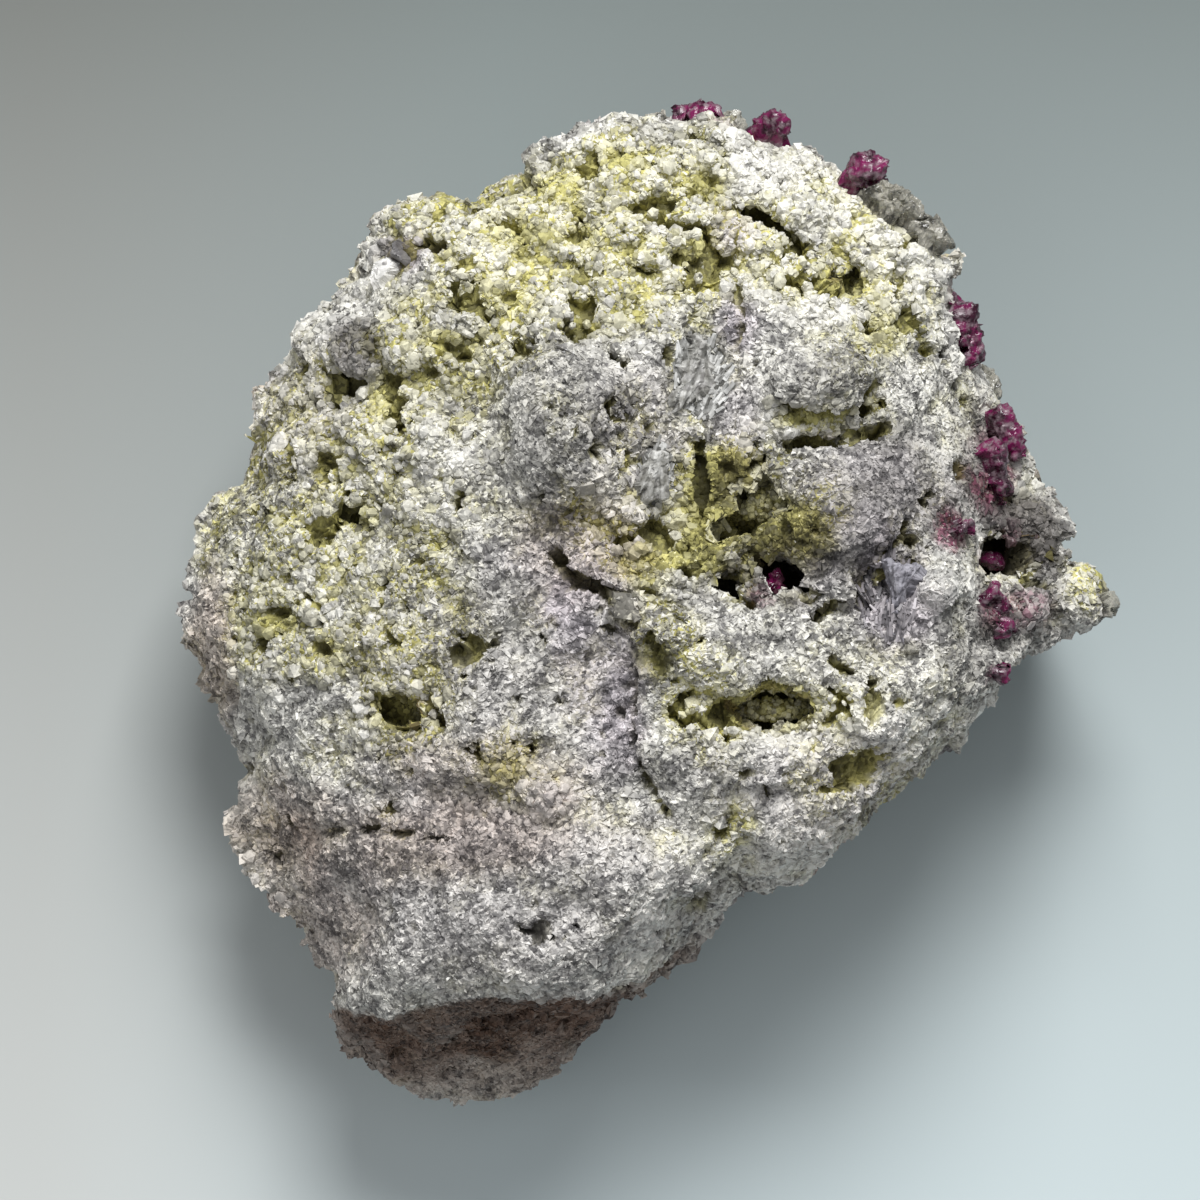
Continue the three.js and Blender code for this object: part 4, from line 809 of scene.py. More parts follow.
def joined_grains(name, shape, places, frames, sizes, jitter, rng, shares):
    """One mesh of many small grains, each with its own shares and place in OFBake."""
    corners, faces = shape
    count = len(places)
    local = corners[None] + jitter * rng.uniform(-1, 1, (count, len(corners), 3))
    placed = np.einsum("nij,nkj->nki", frames, local * sizes[:, None, :]) + places[:, None, :]
    placed[..., 2] = np.maximum(placed[..., 2], LOWEST_GRAIN)
    lengths = np.array([len(face) for face in faces])
    loops = np.concatenate([np.array(face) for face in faces])
    all_loops = (loops[None] + len(corners) * np.arange(count)[:, None]).ravel()
    all_lengths = np.tile(lengths, count)
    starts = np.concatenate([[0], np.cumsum(all_lengths)[:-1]])
    mesh = bpy.data.meshes.new(name)
    mesh.vertices.add(count * len(corners))
    mesh.vertices.foreach_set("co", (placed * MM).astype(np.float32).ravel())
    mesh.loops.add(len(all_loops))
    mesh.loops.foreach_set("vertex_index", all_loops.astype(np.int32))
    mesh.polygons.add(len(all_lengths))
    mesh.polygons.foreach_set("loop_start", starts.astype(np.int32))
    mesh.polygons.foreach_set("loop_total", all_lengths.astype(np.int32))
    mesh.update(calc_edges=True)
    mesh.shade_flat()
    side = math.ceil(math.sqrt(count))
    cell = np.stack([np.arange(count) % side, np.arange(count) // side], axis=1)
    inner = 0.5 + 0.3 * np.clip(corners[loops][:, :2], -1, 1)
    uv = (cell[:, None, :] + inner[None]) / side
    mesh.uv_layers.new(name="OFBake").data.foreach_set("uv", uv.astype(np.float32).ravel())
    obj = linked(name, mesh)
    for key, values in shares.items():
        set_attribute(obj, key, np.repeat(values, len(corners)))
    return obj


def feed(tree, made, inputs):
    """Gives a node's sockets their links or values."""
    for key, value in inputs.items():
        if isinstance(value, bpy.types.NodeSocket):
            tree.links.new(value, made.inputs[key])
        else:
            made.inputs[key].default_value = value


def node(tree, kind, inputs=None, **settings):
    """Adds a shader node, with sockets given by name as links or values."""
    made = tree.nodes.new(kind)
    for key, value in settings.items():
        setattr(made, key, value)
    feed(tree, made, inputs or {})
    return made


def noise(tree, where, scale, detail):
    """Soft noise over the piece's own coordinates."""
    inputs = {"Vector": where, "Scale": scale, "Detail": detail}
    return node(tree, "ShaderNodeTexNoise", inputs).outputs["Fac"]


def math_node(tree, operation, first, second=0.0):
    return node(tree, "ShaderNodeMath", {0: first, 1: second}, operation=operation).outputs[0]


def vector_math(tree, operation, inputs):
    return node(tree, "ShaderNodeVectorMath", inputs, operation=operation).outputs["Vector"]


def ranged(tree, value, low, high, new_low=0.0, new_high=1.0):
    """A value moved from one range to another and kept inside it."""
    made = node(
        tree, "ShaderNodeMapRange",
        {"Value": value, "From Min": low, "From Max": high, "To Min": new_low, "To Max": new_high},
    )
    return made.outputs["Result"]


def mixed(tree, share, first, second, blend="MIX"):
    made = node(
        tree, "ShaderNodeMix", {0: share, 6: first, 7: second}, data_type="RGBA", blend_type=blend,
    )
    return made.outputs[2]


def attribute(tree, name):
    return node(tree, "ShaderNodeAttribute", attribute_name=name).outputs["Fac"]


def new_group(name, inputs, outputs):
    """An empty node group with its sockets: (kind, name, default) each."""
    group = bpy.data.node_groups.new(name, "ShaderNodeTree")
    for kind, label, default in inputs:
        socket = group.interface.new_socket(label, in_out="INPUT", socket_type=kind)
        if default is not None:
            socket.default_value = default
    for kind, label in outputs:
        group.interface.new_socket(label, in_out="OUTPUT", socket_type=kind)
    source = group.nodes.new("NodeGroupInput").outputs
    target = group.nodes.new("NodeGroupOutput").inputs
    return group, source, target


def placed_group(tree, name, inputs):
    return node(tree, "ShaderNodeGroup", inputs, node_tree=bpy.data.node_groups[name]).outputs


def speckle_group():
    """Sugary grain: paler and darker crystals, their height, and facets that catch light."""
    group, source, target = new_group(
        "sugary speckle",
        [
            ("NodeSocketVector", "Vector", None), ("NodeSocketFloat", "Scale", 1900.0),
            ("NodeSocketFloat", "Facets", 0.7),
        ],
        [
            ("NodeSocketFloat", "Tone"), ("NodeSocketFloat", "Height"),
            ("NodeSocketFloat", "Glint"), ("NodeSocketVector", "Facet"),
        ],
    )
    where, scale = source["Vector"], source["Scale"]
    wide = math_node(group, "MULTIPLY", scale, 0.42)
    fine = node(group, "ShaderNodeTexVoronoi", {"Vector": where, "Scale": scale}).outputs
    broad = node(group, "ShaderNodeTexVoronoi", {"Vector": where, "Scale": wide}).outputs
    small = node(group, "ShaderNodeSeparateColor", {"Color": fine["Color"]}).outputs
    large = node(group, "ShaderNodeSeparateColor", {"Color": broad["Color"]}).outputs
    cloud = noise(group, where, math_node(group, "MULTIPLY", scale, 0.17), 4.0)
    darker = ranged(group, small["Red"], 0, 0.3, -0.34, 0)
    tone = math_node(group, "ADD", darker, ranged(group, small["Red"], 0.65, 1, 0, 0.36))
    tone = math_node(group, "ADD", tone, ranged(group, large["Red"], 0, 1, -0.16, 0.16))
    tone = math_node(group, "ADD", tone, ranged(group, cloud, 0.25, 0.75, -0.22, 0.22))
    group.links.new(tone, target["Tone"])
    body = math_node(group, "SUBTRACT", 0.6, fine["Distance"])
    body = math_node(group, "ADD", body, math_node(group, "MULTIPLY", small["Green"], 0.5))
    group.links.new(body, target["Height"])
    group.links.new(ranged(group, small["Blue"], 0.78, 0.9), target["Glint"])
    lean = vector_math(group, "SUBTRACT", {0: fine["Color"], 1: (0.5, 0.5, 0.5)})
    lean = vector_math(group, "SCALE", {0: lean, "Scale": source["Facets"]})
    group.links.new(lean, target["Facet"])


def tint_group():
    """The rock's colours, laid over each other by shares from 0 to 1; the tone, dusk and brown
    shares also carry painted shade and painted light.
    """
    colours = [
        ("Pale", (0.78, 0.765, 0.71, 1)), ("Grey", (0.17, 0.165, 0.16, 1)),
        ("Violet Tint", (0.84, 0.795, 0.885, 1)), ("Stain Tint", (0.8, 0.76, 0.3, 1)),
        ("Brown Tint", (0.54, 0.32, 0.22, 1)), ("White", (0.8, 0.79, 0.74, 1)),
        ("Dusk Tint", (0.28, 0.265, 0.265, 1)), ("Pink Tint", (0.62, 0.2, 0.36, 1)),
    ]
    shares = ["Tone", "Violet", "Stain", "Brown", "White Share", "Dusk", "Pink"]
    group, source, target = new_group(
        "rock tint",
        [("NodeSocketColor", name, value) for name, value in colours]
        + [("NodeSocketFloat", name, 0.0) for name in shares],
        [("NodeSocketColor", "Color")],
    )
    colour = mixed(group, source["Tone"], source["Grey"], source["Pale"])
    for name in ("Violet", "Stain", "Brown"):
        colour = mixed(group, source[name], colour, source[f"{name} Tint"], "MULTIPLY")
    colour = mixed(group, source["White Share"], colour, source["White"])
    for name in ("Dusk", "Pink"):
        colour = mixed(group, source[name], colour, source[f"{name} Tint"], "MULTIPLY")
    group.links.new(colour, target["Color"])


def new_material(name):
    """A material with its shader, its output and the piece's own coordinates."""
    material = bpy.data.materials.new(name)
    material.use_nodes = True
    tree = material.node_tree
    tree.nodes.clear()
    shader = tree.nodes.new("ShaderNodeBsdfPrincipled")
    output = tree.nodes.new("ShaderNodeOutputMaterial")
    tree.links.new(shader.outputs["BSDF"], output.inputs["Surface"])
    where = tree.nodes.new("ShaderNodeTexCoord").outputs["Object"]
    return material, tree, shader, output, where


def bumped(tree, shader, height, distance, facet=None):
    """Feeds the shader a bumped normal, leaned further by a facet where one is given."""
    inputs = {"Height": height, "Distance": distance, "Strength": BUMP_STRENGTH}
    normal = node(tree, "ShaderNodeBump", inputs).outputs["Normal"]
    if facet:
        leaned = vector_math(tree, "ADD", {0: normal, 1: facet})
        normal = vector_math(tree, "NORMALIZE", {0: leaned})
    tree.links.new(normal, shader.inputs["Normal"])


def stone_material(name, scale, glossy, dull, speckle=0.8, facets=0.5):
    """Sugary stone: speckled tone, stains, glints and facets, glossy only in the glints."""
    material, tree, shader, _, where = new_material(name)
    inputs = {"Vector": where, "Scale": scale, "Facets": facets}
    specks = placed_group(tree, "sugary speckle", inputs)
    tone = math_node(tree, "MULTIPLY", specks["Tone"], speckle)
    stains = ("Violet", "Stain", "Brown", "Dusk", "Pink")
    shares = {stain: attribute(tree, stain.lower()) for stain in stains}
    shares["White Share"] = attribute(tree, "white")
    shares["Tone"] = math_node(tree, "ADD", attribute(tree, "tone"), tone)
    tree.links.new(placed_group(tree, "rock tint", shares)["Color"], shader.inputs["Base Color"])
    gloss = ranged(tree, specks["Glint"], 0, 1, dull, glossy)
    tree.links.new(gloss, shader.inputs["Roughness"])
    shader.inputs["Specular IOR Level"].default_value = SHEEN
    bumped(tree, shader, specks["Height"], STONE_BUMP, specks["Facet"])
    return material


def crystal_material(name, look, veil, streak, dim=1.0):
    """Clear crystal: its colour, dark depths, paler veils and fine streaks along it."""
    material, tree, shader, output, where = new_material(name)
    veils = noise(tree, where, 1100.0, 8.0)
    depths = noise(tree, where, 420.0, 4.0)
    own = [part * dim for part in look.colour]
    deep = [part * 0.16 for part in own]
    colour = mixed(tree, ranged(tree, depths, 0.42, 0.58), (*deep, 1), (*own, 1))
    colour = mixed(tree, ranged(tree, veils, 0.46, 0.66, 0, 0.9), colour, (*veil, 1))
    tree.links.new(colour, shader.inputs["Base Color"])
    shader.inputs["Transmission Weight"].default_value = look.clearness
    shader.inputs["IOR"].default_value = look.ior
    shader.inputs["Specular IOR Level"].default_value = SHEEN
    tree.links.new(ranged(tree, veils, 0.4, 0.75, 0.08, 0.4), shader.inputs["Roughness"])
    inputs = {"Color": (*look.depth_colour, 1), "Density": look.density}
    inside = node(tree, "ShaderNodeVolumeAbsorption", inputs)
    tree.links.new(inside.outputs["Volume"], output.inputs["Volume"])
    bumped(tree, shader, noise(tree, where, streak, 3.0), CRYSTAL_BUMP)
    return material


def fibre_material(name, dark, pale):
    """Fine blades: each its own tone between two colours."""
    material, tree, shader, _, where = new_material(f"{name} blades")
    cloud = noise(tree, where, 1200.0, 3.0)
    mottled = ranged(tree, cloud, 0.3, 0.7, -0.2, 0.2)
    tone = math_node(tree, "ADD", attribute(tree, "tone"), mottled)
    tree.links.new(mixed(tree, tone, (*dark, 1), (*pale, 1)), shader.inputs["Base Color"])
    tree.links.new(ranged(tree, cloud, 0.3, 0.7, 0.3, 0.6), shader.inputs["Roughness"])
    return material


def plain_mineral(name, first, second, scale, roughness):
    """Mica, albite or lavender columns: two tones in fine layers, with glints."""
    material, tree, shader, _, where = new_material(name)
    inputs = {"Vector": where, "Scale": scale, "Facets": 0.5}
    specks = placed_group(tree, "sugary speckle", inputs)
    layers = noise(tree, where, scale / 2, 4.0)
    colour = mixed(tree, ranged(tree, layers, 0.35, 0.65), (*first, 1), (*second, 1))
    dark = ranged(tree, specks["Tone"], 0, -0.5, 0, 0.8)
    colour = mixed(tree, dark, colour, (0.4, 0.38, 0.4, 1), "MULTIPLY")
    tree.links.new(colour, shader.inputs["Base Color"])
    gloss = ranged(tree, layers, 0.3, 0.7, roughness, roughness * 1.6)
    tree.links.new(gloss, shader.inputs["Roughness"])
    bumped(tree, shader, specks["Height"], MINERAL_BUMP, specks["Facet"])
    return material


class RockSettings(bpy.types.PropertyGroup):
    """Sizes of the rock's own surface."""

    voxel: FloatProperty(
        name="Mesh size", description="Size of the rock's mesh faces", default=0.00066,
        min=0.0003, unit="LENGTH", subtype="DISTANCE",
    )
    relief: FloatProperty(
        name="Relief", description="How strongly knobs and grains stand out", default=1.0, min=0,
    )
    pits: FloatProperty(name="Pits", description="How deep the pits are", default=1.0, min=0.0)


class GrainSettings(bpy.types.PropertyGroup):
    """How many grains there are and how large they are."""

    coarse_count: IntProperty(
        name="Coarse grains", description="Grains in the coarse places", default=9300,
    )
    flake_count: IntProperty(
        name="Mica flakes", description="Six-sided flakes on the face", default=1100,
    )
    crust_count: IntProperty(
        name="Vug grains", description="Grains in each yellow vug", default=260,
    )
    fine_count: IntProperty(
        name="Fine grains", description="Grains of each of the fine crusts", default=23500,
    )
    wall_count: IntProperty(
        name="Wall grains", description="Grains on the walls", default=24500,
    )
    coarse_size: FloatProperty(
        name="Coarse size", description="Width of a coarse grain", default=0.00115,
        unit="LENGTH", subtype="DISTANCE",
    )
    fine_size: FloatProperty(
        name="Fine size", description="Width of a fine grain", default=0.00052,
        unit="LENGTH", subtype="DISTANCE",
    )


class CrystalLook(bpy.types.PropertyGroup):
    """Colour and clearness of one kind of crystal."""

    colour: FloatVectorProperty(
        name="Colour", description="Colour of the surface", subtype="COLOR",
        default=(0.23, 0.012, 0.1), min=0, max=1,
    )
    depth_colour: FloatVectorProperty(
        name="Depth colour", description="Colour of light that passes through", subtype="COLOR",
        default=(0.85, 0.08, 0.4), min=0, max=1,
    )
    clearness: FloatProperty(
        name="Clearness", description="Share of light that enters", default=0.3, min=0, max=1,
        subtype="FACTOR",
    )
    ior: FloatProperty(name="Refraction", description="Index of refraction", default=1.63)
    density: FloatProperty(
        name="Density", description="How quickly light is absorbed, per metre", default=260.0,
    )


class StageSettings(bpy.types.PropertyGroup):
    """Light and floor."""

    key_power: FloatProperty(
        name="Main light", description="Power of the large soft light", default=12.0,
        unit="POWER",
    )
    fill_power: FloatProperty(
        name="Fill light", description="Power of the light from the other side", default=1.5,
        unit="POWER",
    )
    sky: FloatProperty(name="Sky", description="Strength of the light from all round", default=0.34)
    # Painted shade: the floor colour goes from dark at the top of the picture to pale at the
    # bottom.
    floor_top_shaded: FloatVectorProperty(
        name="Floor, far", description="Floor colour at the top of the picture", subtype="COLOR",
        default=(0.142, 0.166, 0.161), min=0, max=1,
    )
    floor_low_lit: FloatVectorProperty(
        name="Floor, near", description="Floor colour at the bottom of the picture",
        subtype="COLOR", default=(0.605, 0.69, 0.705), min=0, max=1,
    )


def crystal_nodes():
    """Names of the nodes that stand on the rock, by kind."""
    names = sorted(frame["nodes"])
    return {
        kind: [name for name in names if name.startswith(kind)]
        for kind in ("rubellite", "quartz", "mica_plate", "lavender", "albite", "crust")
    }


def crystal_trees():
    """Search trees and boxes of the CAD crystals, in millimetres."""
    trees = []
    kinds = crystal_nodes()
    for kind in ("rubellite", "quartz", "mica_plate", "lavender", "albite"):
        for name in kinds[kind]:
            obj = frame["nodes"][name]
            places = np.array([tuple(vertex.co) for vertex in obj.data.vertices]) / MM
            trees.append((tree_of(obj), places.min(axis=0), places.max(axis=0)))
    return trees


def calm(places, trees):
    """From 0 beside a crystal to 1 away from all of them."""
    share = np.ones(len(places))
    for tree, low, high in trees:
        near = np.all((places > low - CALM_REACH) & (places < high + CALM_REACH), axis=1)
        for index in np.flatnonzero(near):
            distance = tree.find_nearest(Vector(places[index]))[3]
            share[index] = min(share[index], distance / CALM_REACH)
    return smoothstep(0.15, 1, share)


def main_axis(places):
    """The direction in which a crystal is longest."""
    _, vectors = np.linalg.eigh(np.cov((places - places.mean(axis=0)).T))
    return vectors[:, -1]


def rooted(obj, rock_tree):
    """Draws the side of a crystal that is next to the rock into the rock."""
    places, _ = points_of(obj)
    for index, place in enumerate(places):
        spot_on, facing, _, distance = rock_tree.find_nearest(Vector(place))
        inside = (Vector(place) - spot_on).dot(facing) < 0
        if distance < ROOT_REACH and not inside:
            places[index] = spot_on - facing * ROOT_DEPTH * (1 - distance / ROOT_REACH)
    places[:, 2] = np.maximum(places[:, 2], LOWEST_CRYSTAL)
    move_points(obj, places)


def striate(obj, seed):
    """Cuts ridges and furrows along a crystal and chips its surface a little."""
    depth, spacing = FURROWS
    places, normals = points_of(obj)
    axis = main_axis(places)
    middle = places.mean(axis=0)
    along = (places - middle) @ axis
    flat = places - along[:, None] * axis
    ridges = np.stack([flat[:, 0], flat[:, 1], flat[:, 2] + 0.06 * along], axis=1)
    furrows = rough(ridges, spacing, seed) * depth
    chips = broken(places, RUBELLITE_CHIPS, seed, 3)
    move_points(obj, places + normals * (furrows + chips)[:, None])


class MINERAL_OT_rock(bpy.types.Operator):
    """Dress the lump of rock: knobs, broken flats, pits and cracks, its stains, and painted shade
    in its hollows, pockets and underside
    """

    bl_idname = "mineral.rock"
    bl_label = "Rock"

    def execute(self, context):
        settings = context.scene.mineral_rock
        rock = solid_copy("matrix", "rock", settings.voxel)
        places, normals = points_of(rock)
        fields = rock_fields(places, normals)
        face, coarse = fields["face"], fields["coarse"]
        knobs = relief(places, COARSE_RELIEF, 101) + broken(places, COARSE_FLATS, 121)
        fine = relief(places, FINE_RELIEF, 201) + broken(places, FINE_FLATS, 221)
        fine = fine * (1 - 0.65 * fields["smooth"])
        ledges = relief(places, WALL_RELIEF, 301) + broken(places, WALL_FLATS, 321)
        rise = face * (coarse * knobs + (1 - coarse) * fine + plateaus(places))
        rise = rise + (1 - face) * ledges
        rise = rise + ridge_crest(places)
        stain = np.maximum(fields["stain"], 1.3 * fields["olive"])
        holes = pit_depth(places, stain * (1 - fields["smooth"]))
        holes = np.maximum(holes, crack_depth(places)) * np.maximum(face, 0.35)
        foot = smoothstep(0, FOOT_HEIGHT, places[:, 2])
        quiet = calm(places, crystal_trees())
        rise = np.where(rise > 0, rise * quiet, rise)
        quiet = np.maximum(quiet, 1 - smoothstep(0.8, 1.2, ellipse(places, OPEN_VUG)))
        rise = (rise * settings.relief - holes * settings.pits * quiet) * foot
        moved = places + normals * rise[:, None]
        moved[:, 2] = np.maximum(moved[:, 2], 0)
        move_points(rock, moved)
        fields["hollow"] = hollowness(rock)
        sugar = SUGAR * np.random.default_rng(3).uniform(-1, 1, moved.shape)
        move_points(rock, np.where(moved[:, 2:] > 0.2, moved + sugar, moved))
        rock.data.shade_flat()
        fields["holes"] = holes
        fields["mottle"] = mottle(places)
        # Painted shade: the tone is darker in the hollows.
        tone = 0.47 + 0.3 * fields["mottle"] - 0.4 * smoothstep(0.1, 1.2, fields["hollow"])
        # Painted light and painted shade from the pale and dull places, with paler and duller rock.
        tone = tone + BRIGHTEST * fields["bright"] - 0.06 * fields["olive"]
        # Painted shade: darker still in the deep pits and cracks.
        tone = tone - 0.2 * smoothstep(0.6, 2.2, holes)
        set_attribute(rock, "tone", np.clip(tone, 0, 1))
        for key in FIELDS:
            if key != "stain":
                set_attribute(rock, key, fields[key])
        yellow = smoothstep(0.2, 1.0, holes) * (1 - 0.7 * fields["smooth"])
        set_attribute(rock, "stain", np.clip(fields["stain"] * 1.5 + 0.7 * yellow, 0, 1))
        material = stone_material(
            "lepidolite rock", scale=1900.0, glossy=0.25, dull=0.7, speckle=1.2, facets=0.8,
        )
        hand_over(rock, material, "lepidolite_rock", "matrix")
        return {"FINISHED"}


def grain_shares(fields, rng):
    """Tone and stains of each grain from what the rock is like under it, with painted shade in the
    hollows and painted light and shade from the pale and dull places.
    """
    count = len(fields["hollow"])
    coarse = fields["coarse"]
    chance = (0.2 - 0.11 * coarse) * rng.normal(size=count)
    tone = 0.53 + 0.3 * fields["mottle"] + chance + 0.12 * coarse
    # Painted shade: grains in the hollows are darker.
    tone = tone - (0.55 - 0.25 * coarse) * smoothstep(0.1, 1.2, fields["hollow"])
    sunk = smoothstep(-0.5, 0.7, fields["hollow"])
    stain = fields["stain"] * (0.3 + 0.7 * sunk) * rng.uniform(0.1, 1.0, count)
    stain = np.maximum(stain, fields["olive"] * rng.uniform(0.5, 1.0, count))
    shares = {key: fields[key] for key in ("violet", "brown", "white", "dusk")}
    shares["pink"] = fields["pink"] * rng.uniform(0.2, 1.3, count)
    # Painted light and painted shade from the pale and dull places, with paler and duller rock.
    tone = tone + BRIGHTEST * fields["bright"]
    shares["stain"] = np.clip(stain * 1.7, 0, 1)
    shares["tone"] = np.clip(tone + 0.05 - 0.27 * shares["stain"], 0.02, 0.92)
    return shares


def open_share(fields):
    """1 where grains may lie, 0 in the pits and cracks of the face."""
    return np.where(fields["face"] > 0.3, fields["holes"] < 0.75, True)


def uneven_sizes(width, across, thick, rng):
    """Length, breadth and thickness of each grain from its width."""
    count = len(width)
    breadth = width * rng.uniform(*across, count)
    return np.stack([width, breadth, width * rng.uniform(*thick, count)], axis=1)


def grain_crust(name, shape, picked, sizes, shares, rng, tilt, jitter, sink):
    """Joined grains at some places, each sunk by its share into what is under it."""
    places, normals = picked
    frames = grain_frames(normals, tilt, rng)
    at = places + normals * (sizes[:, 2] * (0.5 - sink))[:, None]
    return joined_grains(name, shape, at, frames, sizes, jitter, rng, shares)


def kept(keep, shares, *arrays):
    """The chosen entries of the shares and of each array."""
    chosen = {key: values[keep] for key, values in shares.items()}
    return chosen, *(array[keep] for array in arrays)


def bed_of_grains(spacing, seed, rng, wanted_share, gap, count):
    """What the rock is like at the places that get a grain, the places and their normals."""
    places, normals, fields = seeds_on(bpy.data.objects["rock"], spacing, seed, FIELDS)
    wanted = wanted_share(places, normals, fields)
    keep = rng.random(len(places)) < wanted
    keep = keep & clear_of_crystals(places, crystal_trees(), gap)
    return kept(np.flatnonzero(keep)[:count], fields, places, normals)


class MINERAL_OT_coarse_grains(bpy.types.Operator):
    """Cover the coarse places of the face with pale blocky grains"""

    bl_idname = "mineral.coarse_grains"
    bl_label = "Coarse grains"

    def execute(self, context):
        settings = context.scene.mineral_grains
        rng = np.random.default_rng(5)
        size = settings.coarse_size / MM
        fields, *picked = bed_of_grains(
            0.8 * size, 6, rng, self.wanted, gap=0.2, count=settings.coarse_count,
        )
        shares = grain_shares(fields, rng)
        width = size * rng.lognormal(0.0, 0.3, len(picked[0]))
        sizes = uneven_sizes(width, (0.75, 1.2), (0.5, 0.85), rng)
        grains = grain_crust(
            "coarse_grains", crumb_shape(), picked, sizes, shares, rng,
            tilt=0.45, jitter=0.08, sink=0.68,
        )
        material = stone_material("pale grains", 1700.0, glossy=0.22, dull=0.6, speckle=0.7)
        hand_over(grains, material, "lepidolite_rock")
        return {"FINISHED"}

    @staticmethod
    def wanted(places, normals, fields):
        return fields["face"] * smoothstep(0.2, 0.5, fields["coarse"]) * open_share(fields)


class MINERAL_OT_mica_flakes(bpy.types.Operator):
    """Scatter thin six-sided mica flakes over the face"""

    bl_idname = "mineral.mica_flakes"
    bl_label = "Mica flakes"

    def execute(self, context):
        settings = context.scene.mineral_grains
        rng = np.random.default_rng(35)
        fields, *picked = bed_of_grains(
            1.3, 36, rng, self.wanted, gap=0.2, count=settings.flake_count,
        )
        shares = grain_shares(fields, rng)
        shares["tone"] = np.clip(shares["tone"] + 0.05, 0, 0.8)
        width = 0.8 * rng.lognormal(0, 0.25, len(picked[0]))
        sizes = uneven_sizes(width, (0.7, 1.2), (0.8, 1.5), rng)
        flakes = grain_crust(
            "mica_flakes", flake_shape(), picked, sizes, shares, rng,
            tilt=0.35, jitter=0.06, sink=0.5,
        )
        hand_over(flakes, stone_material("mica flakes", 1500.0, glossy=0.14, dull=0.5), "mica")
        return {"FINISHED"}

    @staticmethod
    def wanted(places, normals, fields):
        return (0.3 + 0.7 * fields["coarse"]) * (normals[:, 2] > 0.3) * open_share(fields)


class MINERAL_OT_fine_grains(bpy.types.Operator):
    """Cover the rest of the face with fine sugary grains"""

    bl_idname = "mineral.fine_grains"
    bl_label = "Fine grains"

    def execute(self, context):
        settings = context.scene.mineral_grains
        rng = np.random.default_rng(15)
        size = settings.fine_size / MM
        fields, places, normals = bed_of_grains(
            0.75 * size, 16, rng, self.wanted, gap=0.25, count=3 * settings.fine_count,
        )
        shares = grain_shares(fields, rng)
        width = size * (1 - 0.2 * fields["smooth"]) * rng.lognormal(0.0, 0.32, len(places))
        sizes = uneven_sizes(width, (0.6, 1.3), (0.45, 0.9), rng)
        material = stone_material("sugary grains", 1900.0, glossy=0.22, dull=0.65, speckle=1.6)
        marks = np.quantile(places[:, 1], (1 / 3, 2 / 3))
        band = np.searchsorted(marks, places[:, 1])
        shape = chip_shape()
        for index, part in enumerate(("lower", "middle", "upper")):
            some, at, facing, lengths = kept(band == index, shares, places, normals, sizes)
            grains = grain_crust(
                f"fine_grains_{part}", shape, (at, facing), lengths, some, rng,
                tilt=0.32, jitter=0.1, sink=0.72,
            )
            hand_over(grains, material, "lepidolite_rock")
        return {"FINISHED"}

    @staticmethod
    def wanted(places, normals, fields):
        between = 1 - 0.5 * smoothstep(0.3, 0.7, fields["coarse"])
        return fields["face"] * between * open_share(fields)


class MINERAL_OT_wall_grains(bpy.types.Operator):
    """Cover the walls of the rock, down to its flat back, with mixed grains"""

    bl_idname = "mineral.wall_grains"
    bl_label = "Wall grains"

    def execute(self, context):
        settings = context.scene.mineral_grains
        rng = np.random.default_rng(25)
        fields, *picked = bed_of_grains(
            0.75, 26, rng, self.wanted, gap=0.3, count=settings.wall_count,
        )
        shares = grain_shares(fields, rng)
        width = (0.5 + 0.25 * fields["kind"]) * rng.lognormal(0.0, 0.35, len(picked[0]))
        sizes = uneven_sizes(width, (0.6, 1.3), (0.4, 0.9), rng)
        grains = grain_crust(
            "wall_grains", chip_shape(), picked, sizes, shares, rng,
            tilt=0.24, jitter=0.1, sink=0.74,
        )
        material = stone_material("wall grains", 1900.0, glossy=0.25, dull=0.7)
        hand_over(grains, material, "lepidolite_rock")
        return {"FINISHED"}

    @staticmethod
    def wanted(places, normals, fields):
        rough_skin = 0.25 + 0.75 * smoothstep(0.2, 0.7, fields["kind"])
        standing = (places[:, 2] > 0.3) * (normals[:, 2] > -0.9)
        return (1 - fields["face"]) * standing * rough_skin


class MINERAL_OT_fibres(bpy.types.Operator):
    """Lay blades over the white albite and the lavender columns, fanned from their roots"""

    bl_idname = "mineral.fibres"
    bl_label = "Fibres"

    def execute(self, context):
        for seed, (name, patch) in enumerate(FIBRE_PATCHES.items()):
            rng = np.random.default_rng(70 + seed)
            places, normals, _ = seeds_on(bpy.data.objects["rock"], 0.45, 46, crowding=1.5)
            keep = (ellipse(places, patch["place"]) < 1.1) & (normals[:, 2] > 0.1)
            keep = np.flatnonzero(keep)[: patch["count"]]
            places, normals = places[keep], normals[keep]
            heading = np.zeros((len(places), 3))
            heading[:, :2] = places[:, :2] - spot(*patch["root"])
            heading /= np.linalg.norm(heading, axis=1)[:, None]
            heading += 0.25 * rng.normal(size=heading.shape) + 0.2 * normals
            across = np.cross(normals, heading)
            across /= np.linalg.norm(across, axis=1)[:, None]
            heading = np.cross(across, normals) + 0.12 * normals
            heading /= np.linalg.norm(heading, axis=1)[:, None]
            frames = np.stack([heading, across, np.cross(heading, across)], axis=2)
            length = patch["long"] * rng.lognormal(0, 0.35, len(places))
            sizes = np.column_stack([length, rng.uniform(*patch["thick"], (len(places), 2))])
            at = places + 0.05 * normals + 0.3 * length[:, None] * heading
            tone = np.clip(rng.normal(patch["tone"], 0.3, len(places)), 0, 1)
            fibres = joined_grains(
                name, splinter_shape(), at, frames, sizes, 0.05, rng, {"tone": tone},
            )
            material = fibre_material(name, *patch["tones"])
            hand_over(fibres, material, patch["slot"])
        return {"FINISHED"}


